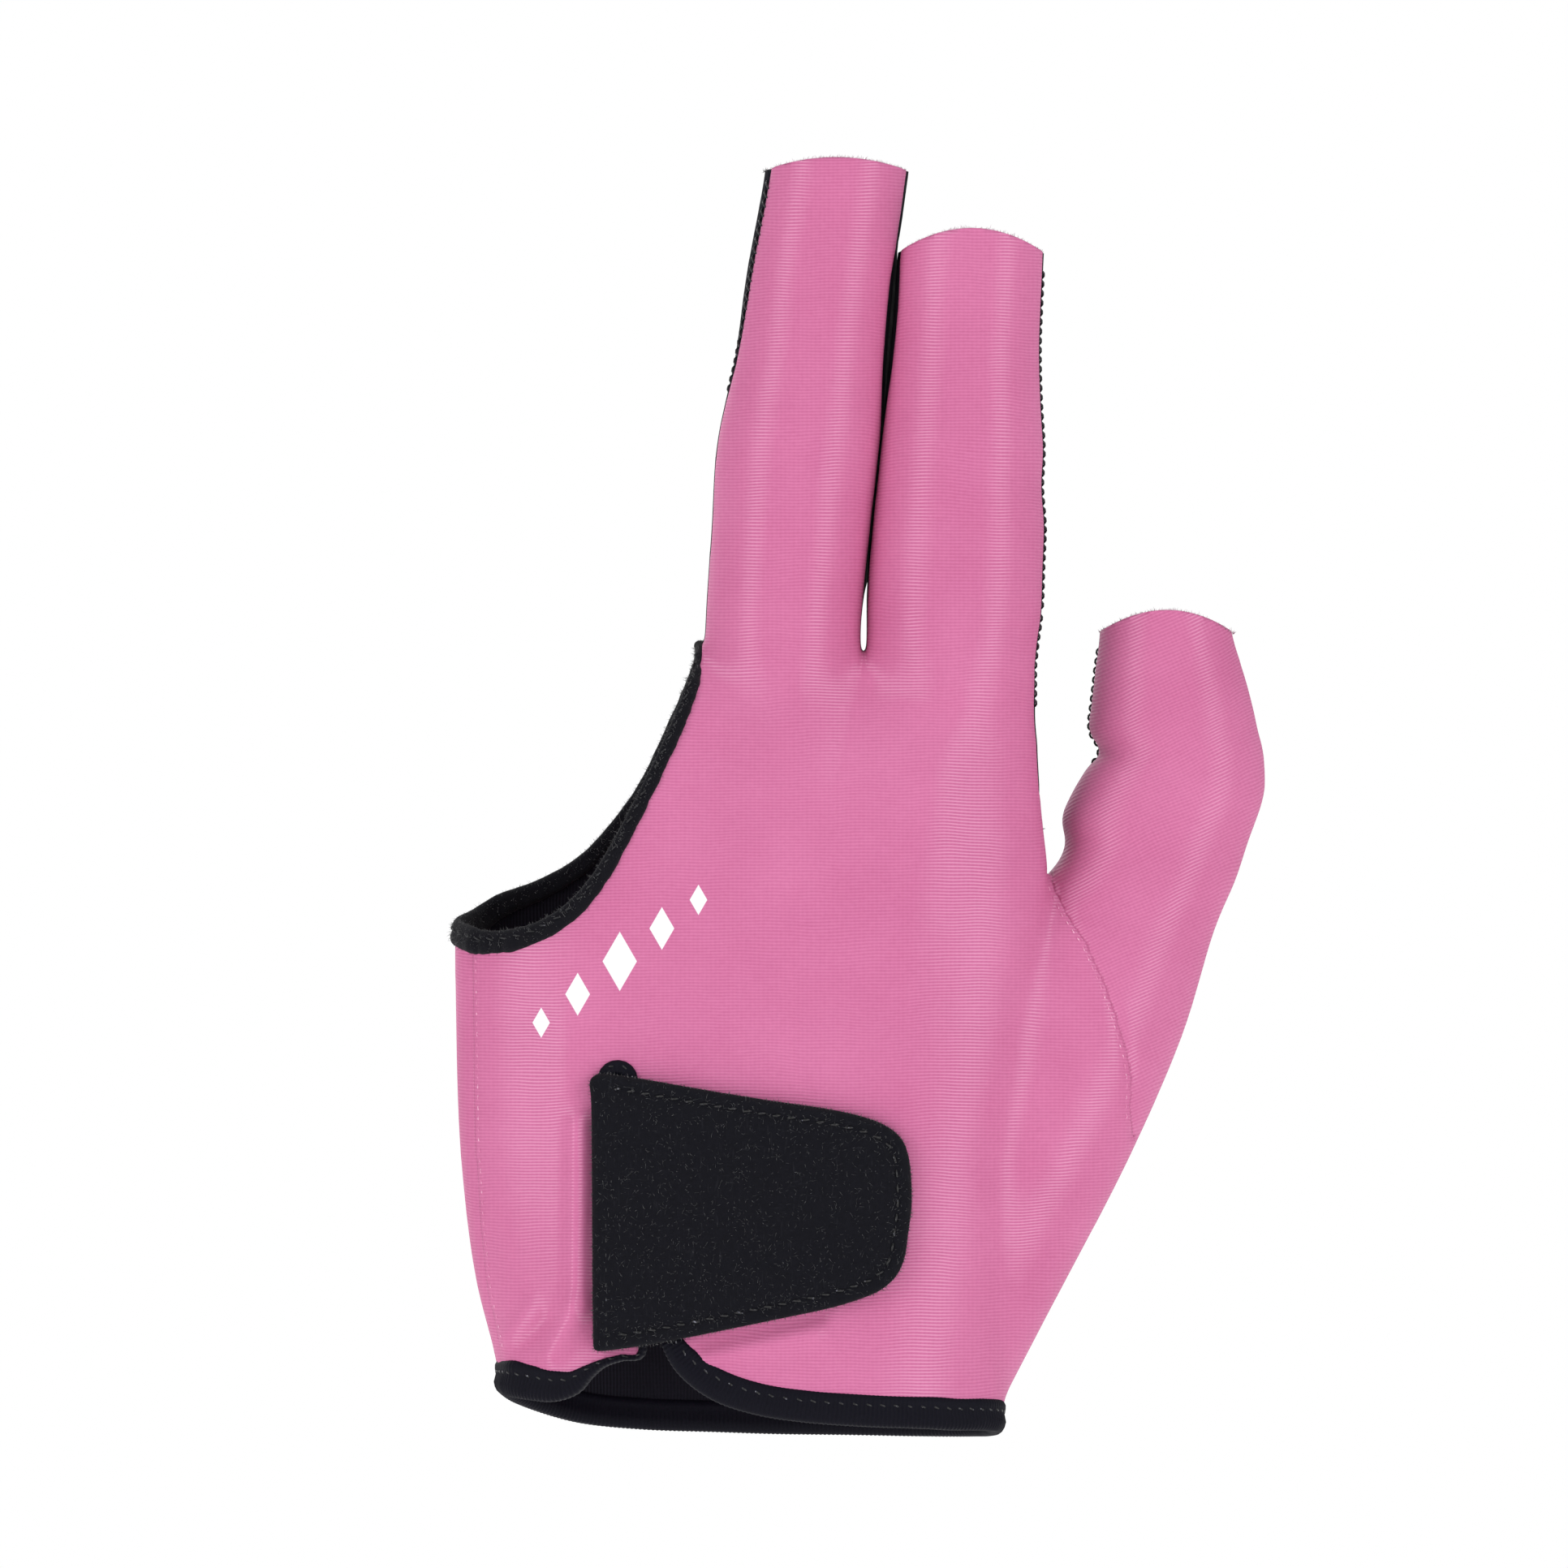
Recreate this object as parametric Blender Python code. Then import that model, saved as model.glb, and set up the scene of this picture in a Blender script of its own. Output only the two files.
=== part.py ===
"""Billiard glove for a left hand, in the form that a hand gives it.

It covers the thumb, index and middle fingers, whose tips are open, and leaves
the ring and little fingers out through one bound opening. Fingers point up
(+Z), the back of the hand faces -Y and the thumb is at +X. The origin is the
middle of the wrist's mouth, at the level of its lowest hem.

The cloth is one hollow form, lofted through the tables below and cut along its
seams into panels. Lengths in the tables are shares of the named sizes.
"""
import math
from collections import namedtuple

import bmesh
import bpy
from mathutils import Vector

# Cloth and seams, in metres
WALL = 0.0012
SEAM_GAP = 0.0003

# Palm and back of the hand, from the wrist's lowest hem to the finger crotch
PALM_HEIGHT = 0.1130
PALM_WIDTH = 0.0848
PALM_DEPTH = 0.0320
WRIST_RISE = 0.0037

# Fingers, from the crotch to their open tips
MIDDLE_LENGTH = 0.0688
MIDDLE_WIDTH = 0.0224
MIDDLE_DEPTH = 0.0195
INDEX_LENGTH = 0.0572
INDEX_WIDTH = 0.0243
INDEX_DEPTH = 0.0190
FINGER_LEAN = 0.0066
FINGER_GAP = 0.0009
CROTCH_ACROSS = 0.0160
TIP_ARCH = 0.0014

# Thumb, from the wrist's middle to its open tip
THUMB_HEIGHT = 0.1160
THUMB_REACH = 0.0594
THUMB_WIDTH = 0.0360
THUMB_DEPTH = 0.0300
THUMB_SHIFT = 0.0100

# Bindings
OPENING_BINDING_WIDTH = 0.0046
OPENING_BINDING_THICKNESS = 0.0024
WRIST_BINDING_WIDTH = 0.0046
WRIST_BINDING_THICKNESS = 0.0026
SLIT_BINDING_WIDTH = 0.0025

# Slit at the back of the wrist and the tab that closes it
SLIT_TOP = 0.0523
SLIT_FOOT = 0.0190
SLIT_TOP_ACROSS = -0.0189
SLIT_FOOT_ACROSS = -0.0143
SLIT_OPEN = 0.0010
TAB_LENGTH = 0.0452
TAB_WIDTH = 0.0389
TAB_THICKNESS = 0.0016
TAB_ROOT_ACROSS = -0.0225
TAB_FOOT = 0.0136

# Width of the strip round the little finger's edge, on the palm side
SIDE_STRIP = 0.0080

# Shape of every section of the hand, and how finely it is drawn
ROUNDNESS = 2.4
PALM_SIDES = 36
FINGER_SIDES = 20
THUMB_SIDES = 24
BINDING_SIDES = 8
ROUTE_STEPS = 4
FAR = 0.2

# Sections of the hand. up: share of PALM_HEIGHT. left, right: of PALM_WIDTH.
# back, front: of PALM_DEPTH.
PalmRow = namedtuple("PalmRow", "up left right back front")
PALM_ROWS = [
    PalmRow(0.00, -0.403, 0.413, 0.56, 0.64),
    PalmRow(0.10, -0.429, 0.425, 0.55, 0.62),
    PalmRow(0.20, -0.463, 0.445, 0.53, 0.59),
    PalmRow(0.34, -0.488, 0.470, 0.50, 0.56),
    PalmRow(0.53, -0.499, 0.492, 0.475, 0.53),
    PalmRow(0.73, -0.495, 0.501, 0.46, 0.48),
    PalmRow(0.87, -0.470, 0.490, 0.40, 0.40),
    PalmRow(0.94, -0.450, 0.484, 0.31, 0.31),
    PalmRow(0.98, -0.440, 0.478, 0.22, 0.22),
    PalmRow(1.00, -0.430, 0.466, 0.12, 0.12),
]

# Level of the wrist's hem round the hand. turn: degrees from the thumb's edge
# over the back of the hand. up: share of PALM_HEIGHT.
HemRow = namedtuple("HemRow", "turn up")
HEM_ROWS = [
    HemRow(0, 0.033),
    HemRow(50, 0.041),
    HemRow(80, 0.050),
    HemRow(100, 0.075),
    HemRow(127, 0.085),
    HemRow(150, 0.077),
    HemRow(180, 0.089),
    HemRow(197, 0.066),
    HemRow(210, 0.046),
    HemRow(230, 0.032),
    HemRow(290, 0.024),
    HemRow(342, 0.021),
    HemRow(360, 0.033),
]

# Edge of the opening for the ring and little fingers, from the crotch of the
# middle finger to the edge of the hand. back and front: on the two sides of
# the hand, across as a share of PALM_WIDTH, up of PALM_HEIGHT. width: the
# binding's, as a share of OPENING_BINDING_WIDTH.
OpeningRow = namedtuple("OpeningRow", "back_across back_up front_across front_up width")
OPENING_ROWS = [
    OpeningRow(-0.084, 0.985, -0.084, 0.985, 0.60),
    OpeningRow(-0.112, 0.945, -0.108, 0.950, 0.50),
    OpeningRow(-0.152, 0.875, -0.142, 0.890, 0.50),
    OpeningRow(-0.190, 0.805, -0.180, 0.830, 0.52),
    OpeningRow(-0.238, 0.740, -0.230, 0.775, 0.56),
    OpeningRow(-0.300, 0.685, -0.290, 0.730, 0.62),
    OpeningRow(-0.360, 0.654, -0.350, 0.702, 0.74),
    OpeningRow(-0.430, 0.648, -0.430, 0.680, 0.90),
    OpeningRow(-0.476, 0.652, -0.476, 0.668, 1.00),
]

# Lean of the gap between the two fingers. up: share of MIDDLE_LENGTH. lean: of
# FINGER_LEAN. gap: of FINGER_GAP.
GapRow = namedtuple("GapRow", "up lean gap")
GAP_ROWS = [
    GapRow(-0.30, -0.04, 1.0),
    GapRow(0.00, 0.00, 1.0),
    GapRow(0.17, 0.07, 0.8),
    GapRow(0.41, 0.34, 0.5),
    GapRow(0.64, 0.58, 0.9),
    GapRow(0.77, 0.70, 1.0),
    GapRow(1.00, 1.00, 0.9),
]

# Sections of a finger. up: share of its length. width: of its width. back,
# front: of its depth.
FingerRow = namedtuple("FingerRow", "up width back front")
MIDDLE_ROWS = [
    FingerRow(-0.30, 0.84, 0.40, 0.38),
    FingerRow(-0.06, 1.00, 0.53, 0.49),
    FingerRow(0.26, 1.02, 0.51, 0.48),
    FingerRow(0.43, 1.035, 0.51, 0.47),
    FingerRow(0.61, 0.96, 0.46, 0.46),
    FingerRow(0.77, 0.94, 0.44, 0.44),
    FingerRow(1.00, 0.905, 0.41, 0.42),
]
INDEX_ROWS = [
    FingerRow(-0.30, 0.84, 0.40, 0.38),
    FingerRow(-0.06, 1.00, 0.54, 0.50),
    FingerRow(0.21, 1.03, 0.52, 0.49),
    FingerRow(0.49, 0.965, 0.51, 0.48),
    FingerRow(0.78, 0.870, 0.46, 0.46),
    FingerRow(1.00, 0.855, 0.43, 0.44),
]

# Sections of the thumb, from the wrist to the tip. across: share of
# THUMB_REACH. up: of THUMB_HEIGHT. tilt: degrees towards the thumb's side.
# inner, outer: half widths, of THUMB_WIDTH. back, front: of THUMB_DEPTH.
# shift: of THUMB_SHIFT, towards the palm.
ThumbRow = namedtuple("ThumbRow", "across up tilt inner outer back front shift")
THUMB_ROWS = [
    ThumbRow(0.303, 0.069, 26, 0.47, 0.47, 0.42, 0.46, 0.35),
    ThumbRow(0.455, 0.224, 26, 0.49, 0.485, 0.45, 0.50, 0.50),
    ThumbRow(0.623, 0.397, 26, 0.50, 0.50, 0.45, 0.52, 0.60),
    ThumbRow(0.775, 0.552, 24, 0.47, 0.47, 0.42, 0.50, 0.70),
    ThumbRow(0.892, 0.672, 20, 0.38, 0.397, 0.38, 0.43, 0.80),
    ThumbRow(0.965, 0.750, 8, 0.38, 0.385, 0.36, 0.39, 0.90),
    ThumbRow(1.010, 0.800, 2, 0.375, 0.375, 0.35, 0.37, 0.95),
    ThumbRow(1.038, 0.845, 0, 0.320, 0.325, 0.34, 0.35, 1.00),
    ThumbRow(1.020, 0.870, 0, 0.345, 0.335, 0.34, 0.35, 1.00),
    ThumbRow(1.015, 0.905, 0, 0.325, 0.325, 0.33, 0.35, 1.00),
    ThumbRow(1.008, 0.950, 0, 0.298, 0.298, 0.31, 0.33, 1.00),
    ThumbRow(1.000, 1.000, 0, 0.265, 0.265, 0.29, 0.31, 1.00),
]

# Seam that sets the thumb in. across: share of THUMB_REACH. up: of THUMB_HEIGHT.
SetInRow = namedtuple("SetInRow", "across up")
SET_IN_ROWS = [
    SetInRow(0.720, 0.708),
    SetInRow(0.719, 0.683),
    SetInRow(0.749, 0.652),
    SetInRow(0.805, 0.614),
    SetInRow(0.850, 0.563),
    SetInRow(0.879, 0.522),
    SetInRow(0.906, 0.476),
    SetInRow(0.916, 0.445),
    SetInRow(0.912, 0.410),
    SetInRow(0.926, 0.367),
]

# Seam between back and palm, seen along the fingers. across: share of
# THUMB_REACH. deep: of THUMB_SHIFT.
SeamRow = namedtuple("SeamRow", "across deep")
SEAM_ROWS = [
    SeamRow(-1.50, -0.05),
    SeamRow(0.70, -0.05),
    SeamRow(1.10, 0.80),
    SeamRow(1.60, 0.80),
]

# Seam of the strip round the little finger's edge, on the back. up: share of
# PALM_HEIGHT. in_from_edge: of SIDE_STRIP.
StripRow = namedtuple("StripRow", "up in_from_edge")
STRIP_ROWS = [
    StripRow(0.00, 0.12),
    StripRow(0.13, 0.14),
    StripRow(0.20, 0.18),
    StripRow(0.34, 0.28),
    StripRow(0.53, 0.31),
    StripRow(0.80, 0.31),
]

# Wrist binding beside the slit. across: share of PALM_WIDTH. up: of
# PALM_HEIGHT. width: of WRIST_BINDING_WIDTH.
FlapRow = namedtuple("FlapRow", "across up width")
LEFT_FLAP_ROWS = [
    FlapRow(-0.380, 0.078, 1.00),
    FlapRow(-0.323, 0.075, 1.00),
    FlapRow(-0.279, 0.091, 0.85),
    FlapRow(-0.236, 0.112, 0.65),
    FlapRow(-0.204, 0.129, 0.56),
]
RIGHT_FLAP_ROWS = [
    FlapRow(-0.140, 0.134, 0.62),
    FlapRow(-0.106, 0.103, 0.85),
    FlapRow(-0.050, 0.076, 1.00),
    FlapRow(0.016, 0.060, 1.00),
    FlapRow(0.095, 0.051, 1.00),
]

# Points along the slit's straight edges, closer together towards its round top
SLIT_SHARES = (0.0, 0.3, 0.6, 0.82, 0.92, 0.97)

# Outline of the tab. along: share of TAB_LENGTH. foot, head: of TAB_WIDTH.
TabRow = namedtuple("TabRow", "along foot head")
TAB_ROWS = [
    TabRow(0.00, 0.015, 0.985),
    TabRow(0.03, 0.000, 1.000),
    TabRow(0.15, 0.022, 0.997),
    TabRow(0.31, 0.055, 0.962),
    TabRow(0.46, 0.090, 0.932),
    TabRow(0.61, 0.128, 0.903),
    TabRow(0.75, 0.160, 0.880),
    TabRow(0.86, 0.200, 0.853),
    TabRow(0.93, 0.247, 0.815),
    TabRow(0.965, 0.300, 0.775),
    TabRow(0.99, 0.400, 0.690),
    TabRow(1.00, 0.510, 0.610),
]
TAB_STEPS = 10

PINK_KNIT = (0.701, 0.195, 0.392, 1.0)
BLACK_KNIT = (0.011, 0.010, 0.017, 1.0)
BLACK_FELT = (0.008, 0.008, 0.010, 1.0)


def between(rows, column, value):
    """The row at a value of its first column, straight between the rows that are given."""
    value = min(max(value, rows[0][0]), rows[-1][0])
    for low, high in zip(rows, rows[1:]):
        if value <= high[0]:
            break
    share = (value - low[0]) / (high[0] - low[0])
    below, above = getattr(low, column), getattr(high, column)
    return below + (above - below) * share


def oval(turn, left, right, back, front):
    """A point of a section, at a turn from its right side over its back."""
    power = 2 / ROUNDNESS
    cosine = math.cos(math.radians(turn))
    sine = math.sin(math.radians(turn))
    across = math.copysign(abs(cosine) ** power, cosine)
    deep = abs(sine) ** power
    x = (left + right) / 2 + across * (right - left) / 2
    y = -deep * back if sine > 0 else deep * front
    return x, y


def palm_point(turn, z, inset=0.0):
    """A point of the hand's surface, or of one that lies inside it by inset."""
    up = z / PALM_HEIGHT
    left = between(PALM_ROWS, "left", up) * PALM_WIDTH + inset
    right = between(PALM_ROWS, "right", up) * PALM_WIDTH - inset
    back = between(PALM_ROWS, "back", up) * PALM_DEPTH - inset
    front = between(PALM_ROWS, "front", up) * PALM_DEPTH - inset
    x, y = oval(turn, left, right, back, front)
    return Vector((x, y, z))


def palm_turn(x, z, side):
    """The turn at which the hand's surface has this x, on its back (1) or its front (-1)."""
    up = z / PALM_HEIGHT
    left = between(PALM_ROWS, "left", up) * PALM_WIDTH
    right = between(PALM_ROWS, "right", up) * PALM_WIDTH
    share = (x - (left + right) / 2) / ((right - left) / 2)
    share = min(max(share, -1.0), 1.0)
    cosine = math.copysign(abs(share) ** (ROUNDNESS / 2), share)
    turn = math.degrees(math.acos(cosine))
    return turn if side > 0 else 360 - turn


def hem_level(turn):
    return between(HEM_ROWS, "up", turn % 360) * PALM_HEIGHT + WRIST_RISE - 0.033 * PALM_HEIGHT


def gap_line(z):
    """Where the gap between the fingers lies, and half its width."""
    up = (z - PALM_HEIGHT) / MIDDLE_LENGTH
    middle = CROTCH_ACROSS + between(GAP_ROWS, "lean", up) * FINGER_LEAN
    return middle, between(GAP_ROWS, "gap", up) * FINGER_GAP / 2


def new_object(name, mesh_maker):
    mesh = bpy.data.meshes.new(name)
    shape = bmesh.new()
    mesh_maker(shape)
    bmesh.ops.recalc_face_normals(shape, faces=shape.faces)
    shape.to_mesh(mesh)
    shape.free()
    made = bpy.data.objects.new(name, mesh)
    bpy.context.collection.objects.link(made)
    return made


def loft(name, rings, tip_arch=0.0):
    """A closed solid through rings of points, its two ends fanned to their middles."""

    def build(shape):
        loops = [[shape.verts.new(point) for point in ring] for ring in rings]
        for low, high in zip(loops, loops[1:]):
            for index in range(len(low)):
                after = (index + 1) % len(low)
                shape.faces.new((low[index], low[after], high[after], high[index]))
        for loop, rise in ((loops[0], 0.0), (loops[-1], tip_arch)):
            middle = sum((vert.co for vert in loop), Vector()) / len(loop)
            centre = shape.verts.new(middle + Vector((0, 0, rise)))
            for index in range(len(loop)):
                shape.faces.new((loop[index], loop[(index + 1) % len(loop)], centre))

    return new_object(name, build)


def palm_form(name, inset):
    """The hand from wrist to crotch. Its lowest ring follows the wrist's hem."""
    turns = [360 * side / PALM_SIDES for side in range(PALM_SIDES)]
    rings = []
    if inset:
        rings.append([palm_point(turn, hem_level(turn), inset) - Vector((0, 0, WALL * 8)) for turn in turns])
    for row in PALM_ROWS:
        level = row.up * (PALM_HEIGHT - inset)
        settle = max(0.0, 1 - row.up / PALM_ROWS[2].up)
        rings.append([palm_point(turn, level + hem_level(turn) * settle, inset) for turn in turns])
    return loft(name, rings)


def arched(ring, middle, half, rise):
    """A tip's ring, highest at the middle of its width."""
    return [point + Vector((0, 0, rise * (1 - ((point.x - middle) / half) ** 2))) for point in ring]


def finger_form(name, rows, length, width, depth, side, inset):
    """A finger's tube, on the left (-1) or the right (1) of the gap between the fingers."""
    rings = []
    for row in rows:
        z = PALM_HEIGHT + row.up * length
        slot, half_gap = gap_line(z)
        near = slot + side * half_gap
        far = near + side * row.width * width
        left, right = min(near, far) + inset, max(near, far) - inset
        back = row.back * depth - inset
        front = row.front * depth - inset
        ring = []
        for step in range(FINGER_SIDES):
            x, y = oval(360 * step / FINGER_SIDES, left, right, back, front)
            ring.append(Vector((x, y, z)))
        if row.up == 1.0:
            ring = arched(ring, (left + right) / 2, (right - left) / 2, TIP_ARCH)
        rings.append(ring)
    if inset:
        rings.append([point + Vector((0, 0, WALL * 4)) for point in rings[-1]])
    return loft(name, rings)


def thumb_form(name, inset):
    rings = []
    for row in THUMB_ROWS:
        centre = Vector((row.across * THUMB_REACH, row.shift * THUMB_SHIFT, row.up * THUMB_HEIGHT))
        tilt = math.radians(row.tilt)
        sideways = Vector((math.cos(tilt), 0, -math.sin(tilt)))
        left = -row.inner * THUMB_WIDTH + inset
        right = row.outer * THUMB_WIDTH - inset
        back = row.back * THUMB_DEPTH - inset
        front = row.front * THUMB_DEPTH - inset
        ring = []
        for step in range(THUMB_SIDES):
            x, y = oval(360 * step / THUMB_SIDES, left, right, back, front)
            ring.append(centre + sideways * x + Vector((0, y, 0)))
        if row.up == 1.0:
            ring = arched(ring, centre.x, (right - left) / 2, TIP_ARCH * 1.7)
        rings.append(ring)
    if inset:
        tilt = math.radians(THUMB_ROWS[0].tilt)
        along = Vector((math.sin(tilt), 0, math.cos(tilt)))
        rings.insert(0, [point - along * WALL * 8 for point in rings[0]])
        rings.append([point + Vector((0, 0, WALL * 4)) for point in rings[-1]])
    return loft(name, rings)


def guide(made):
    made.hide_render = True
    made.display_type = "WIRE"
    return made


def boolean(made, operation, other):
    cut = made.modifiers.new(other.name, "BOOLEAN")
    cut.operation = operation
    cut.solver = "EXACT"
    cut.object = other


def prism(name, outline, near=-FAR, far=FAR):
    """A cutter: an outline in the plane of the hand, drawn through it from back to front."""

    def build(shape):
        verts = [shape.verts.new((x, near, z)) for x, z in outline]
        face = shape.faces.new(verts)
        grown = bmesh.ops.extrude_face_region(shape, geom=[face])
        moved = [item for item in grown["geom"] if isinstance(item, bmesh.types.BMVert)]
        bmesh.ops.translate(shape, verts=moved, vec=(0, far - near, 0))

    return guide(new_object(name, build))


def stack(name, rings):
    """A cutter lofted through rings with as many points each, its ends flat."""

    def build(shape):
        loops = [[shape.verts.new(point) for point in ring] for ring in rings]
        for low, high in zip(loops, loops[1:]):
            for index in range(len(low)):
                after = (index + 1) % len(low)
                shape.faces.new((low[index], low[after], high[after], high[index]))
        shape.faces.new(loops[0])
        shape.faces.new(loops[-1])

    return guide(new_object(name, build))


def seam_block(name, side):
    """All that lies on the back (-1) or the palm (1) side of the seam between them."""
    rings = []
    for level in (-FAR, FAR):
        ring = []
        for row in SEAM_ROWS:
            deep = row.deep * THUMB_SHIFT + (SEAM_GAP if side > 0 else 0.0)
            ring.append((row.across * THUMB_REACH, deep, level))
        ring.append((SEAM_ROWS[-1].across * THUMB_REACH, side * FAR, level))
        ring.append((SEAM_ROWS[0].across * THUMB_REACH, side * FAR, level))
        rings.append(ring)
    return stack(name, rings)


def strip_block(name, extra):
    """The strip round the little finger's edge, from its back seam to its palm seam."""
    rings = []
    for row in STRIP_ROWS:
        level = row.up * PALM_HEIGHT
        edge = between(PALM_ROWS, "left", row.up) * PALM_WIDTH
        seam = edge + row.in_from_edge * SIDE_STRIP + extra
        palm_side = SIDE_STRIP + extra
        ring = [(-FAR, -FAR, level), (seam, -FAR, level), (seam, 0, level)]
        ring += [(seam + SIDE_STRIP * 1.5, 0, level), (seam + SIDE_STRIP * 1.5, palm_side, level)]
        ring.append((-FAR, palm_side, level))
        rings.append(ring)
    rings.insert(0, [(x, y, -FAR) for x, y, z in rings[0]])
    return stack(name, rings)


def thumb_block(name, extra):
    """All that lies on the thumb's side of the seam that sets it in."""
    seam = [(row.across * THUMB_REACH - extra, row.up * THUMB_HEIGHT - extra) for row in SET_IN_ROWS]
    return prism(name, [(seam[0][0], FAR)] + seam + [(FAR, seam[-1][1]), (FAR, FAR)])


def opening_block(name):
    """What the ring and little fingers pass through, beyond the opening's edge."""
    back = [(row.back_across * PALM_WIDTH, row.back_up * PALM_HEIGHT) for row in OPENING_ROWS]
    front = [(row.front_across * PALM_WIDTH, row.front_up * PALM_HEIGHT) for row in OPENING_ROWS]
    rings = []
    for edge, deep in ((back, -FAR), (back, -SIDE_STRIP), (front, SIDE_STRIP), (front, FAR)):
        outline = [(edge[0][0], PALM_HEIGHT + WALL * 4)] + edge
        outline += [(-FAR, edge[-1][1]), (-FAR, PALM_HEIGHT + WALL * 4)]
        rings.append([(x, deep, z) for x, z in outline])
    return stack(name, rings)


def opening_route():
    """The opening's edge as points, widths: up the back, over the crotch and down the palm."""
    down_back = []
    down_front = []
    for row in OPENING_ROWS:
        back_z = row.back_up * PALM_HEIGHT
        front_z = row.front_up * PALM_HEIGHT
        back_turn = palm_turn(row.back_across * PALM_WIDTH, back_z, 1)
        front_turn = palm_turn(row.front_across * PALM_WIDTH, front_z, -1)
        width = row.width * OPENING_BINDING_WIDTH
        down_back.append((back_turn, back_z, width))
        down_front.append((front_turn, front_z, width))
    edge_z = (down_back[-1][1] + down_front[-1][1]) / 2
    edge = [(180, edge_z, OPENING_BINDING_WIDTH)]
    return down_back[::-1], down_front, edge


Station = namedtuple("Station", "point width outward")


def on_palm(turn, z, width):
    """A station of a binding, in the middle of the hand's cloth."""
    point = palm_point(turn, z, WALL / 2)
    return Station(point, width, surface_normal(point))


def catmull(before, start, end, after, share):
    """A value on the smooth curve from start to end, share of the way."""
    slope_in = (end - before) / 2
    slope_out = (after - start) / 2
    square, cube = share * share, share ** 3
    value = (2 * cube - 3 * square + 1) * start + (cube - 2 * square + share) * slope_in
    return value + (3 * square - 2 * cube) * end + (cube - square) * slope_out


def smooth_loop(stations, steps):
    """A closed smooth curve of stations: each a point, a width and an outward direction."""
    curve = []
    rows = [(*station.point, station.width, *station.outward) for station in stations]
    for index in range(len(rows)):
        around = [rows[(index + step) % len(rows)] for step in (-1, 0, 1, 2)]
        for step in range(steps):
            values = [catmull(*(row[axis] for row in around), step / steps) for axis in range(7)]
            curve.append(Station(Vector(values[:3]), values[3], Vector(values[4:]).normalized()))
    return curve


def surface_normal(point):
    """The hand's outward direction near a point, from the section at its height."""
    up = point.z / PALM_HEIGHT
    left = between(PALM_ROWS, "left", up) * PALM_WIDTH
    right = between(PALM_ROWS, "right", up) * PALM_WIDTH
    deep = PALM_DEPTH * between(PALM_ROWS, "back" if point.y < 0 else "front", up)
    x = (point.x - (left + right) / 2) / ((right - left) / 2)
    y = point.y / deep
    power = ROUNDNESS - 1
    grow_x = math.copysign(abs(x) ** power, x) / ((right - left) / 2)
    grow_y = math.copysign(abs(y) ** power, y) / deep
    return Vector((grow_x, grow_y, 0)).normalized()


def binding_form(name, route, thickness, extra=0.0):
    """A flat oval tape along a closed route, its width lying in the cloth."""

    def build(shape):
        loops = []
        for index, station in enumerate(route):
            along = (route[(index + 1) % len(route)].point - route[index - 1].point).normalized()
            outward = (station.outward - along * station.outward.dot(along)).normalized()
            flat = along.cross(outward)
            loop = []
            for step in range(BINDING_SIDES):
                turn = math.radians(360 * (step + 0.5) / BINDING_SIDES)
                reach = flat * math.cos(turn) * (station.width / 2 + extra)
                reach += outward * math.sin(turn) * (thickness / 2 + extra)
                loop.append(shape.verts.new(station.point + reach))
            loops.append(loop)
        for low, high in zip(loops, loops[1:] + loops[:1]):
            for index in range(BINDING_SIDES):
                after = (index + 1) % BINDING_SIDES
                shape.faces.new((low[index], low[after], high[after], high[index]))

    return new_object(name, build)


def opening_path():
    """The middle line of the opening's binding, in the middle of the cloth."""
    down_back, down_front, edge = opening_route()
    crotch_x = OPENING_ROWS[0].back_across * PALM_WIDTH
    crotch_z = OPENING_ROWS[0].back_up * PALM_HEIGHT
    crotch = Vector((crotch_x + WALL / 2, 0, crotch_z + WALL))
    stations = [on_palm(*place) for place in down_back]
    stations.append(Station(crotch, OPENING_BINDING_WIDTH, Vector((-1, 0, 0))))
    stations += [on_palm(*place) for place in down_front + edge]
    return smooth_loop(stations, ROUTE_STEPS)


def slit_line():
    """The slit's binding up its left edge, round its top and down its right edge."""
    foot = Vector((SLIT_FOOT_ACROSS, SLIT_FOOT))
    top = Vector((SLIT_TOP_ACROSS, SLIT_TOP))
    along = (top - foot).normalized()
    beside = Vector((-along.y, along.x))
    half = (SLIT_BINDING_WIDTH + SLIT_OPEN) / 2
    line = [foot + (top - foot) * share + beside * half for share in SLIT_SHARES]
    for turn in (0, 45, 90, 135, 180):
        angle = math.radians(turn)
        line.append(top + beside * half * math.cos(angle) + along * half * math.sin(angle))
    line += [foot + (top - foot) * share - beside * half for share in SLIT_SHARES[::-1]]
    return line


def flap_line():
    """The wrist's binding beside the slit, as across, up and width."""
    line = []
    for row in LEFT_FLAP_ROWS:
        line.append((row.across * PALM_WIDTH, row.up * PALM_HEIGHT, row.width * WRIST_BINDING_WIDTH))
    line += [(x, z, SLIT_BINDING_WIDTH) for x, z in slit_line()]
    for row in RIGHT_FLAP_ROWS:
        line.append((row.across * PALM_WIDTH, row.up * PALM_HEIGHT, row.width * WRIST_BINDING_WIDTH))
    return line


def wrist_path():
    """The middle line of the wrist's binding: up, over and down the slit, and round the hem."""
    stations = [on_palm(palm_turn(x, z, 1), z, width) for x, z, width in flap_line()]
    for turn in (55, 35, 18, 0, -18, -35, -55, -80, -105, -130, -148, -162, -180, -197):
        stations.append(on_palm(turn, hem_level(turn), WRIST_BINDING_WIDTH))
    return smooth_loop(stations, ROUTE_STEPS)


def flap_block(name, route):
    """What lies below the hem beside the slit, and the slit itself."""
    count = (len(flap_line()) - 1) * ROUTE_STEPS + 1
    edge = [(station.point.x, station.point.z) for station in route[:count]]
    return prism(name, edge + [(edge[-1][0], -FAR), (edge[0][0], -FAR)], far=0.0)


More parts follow.
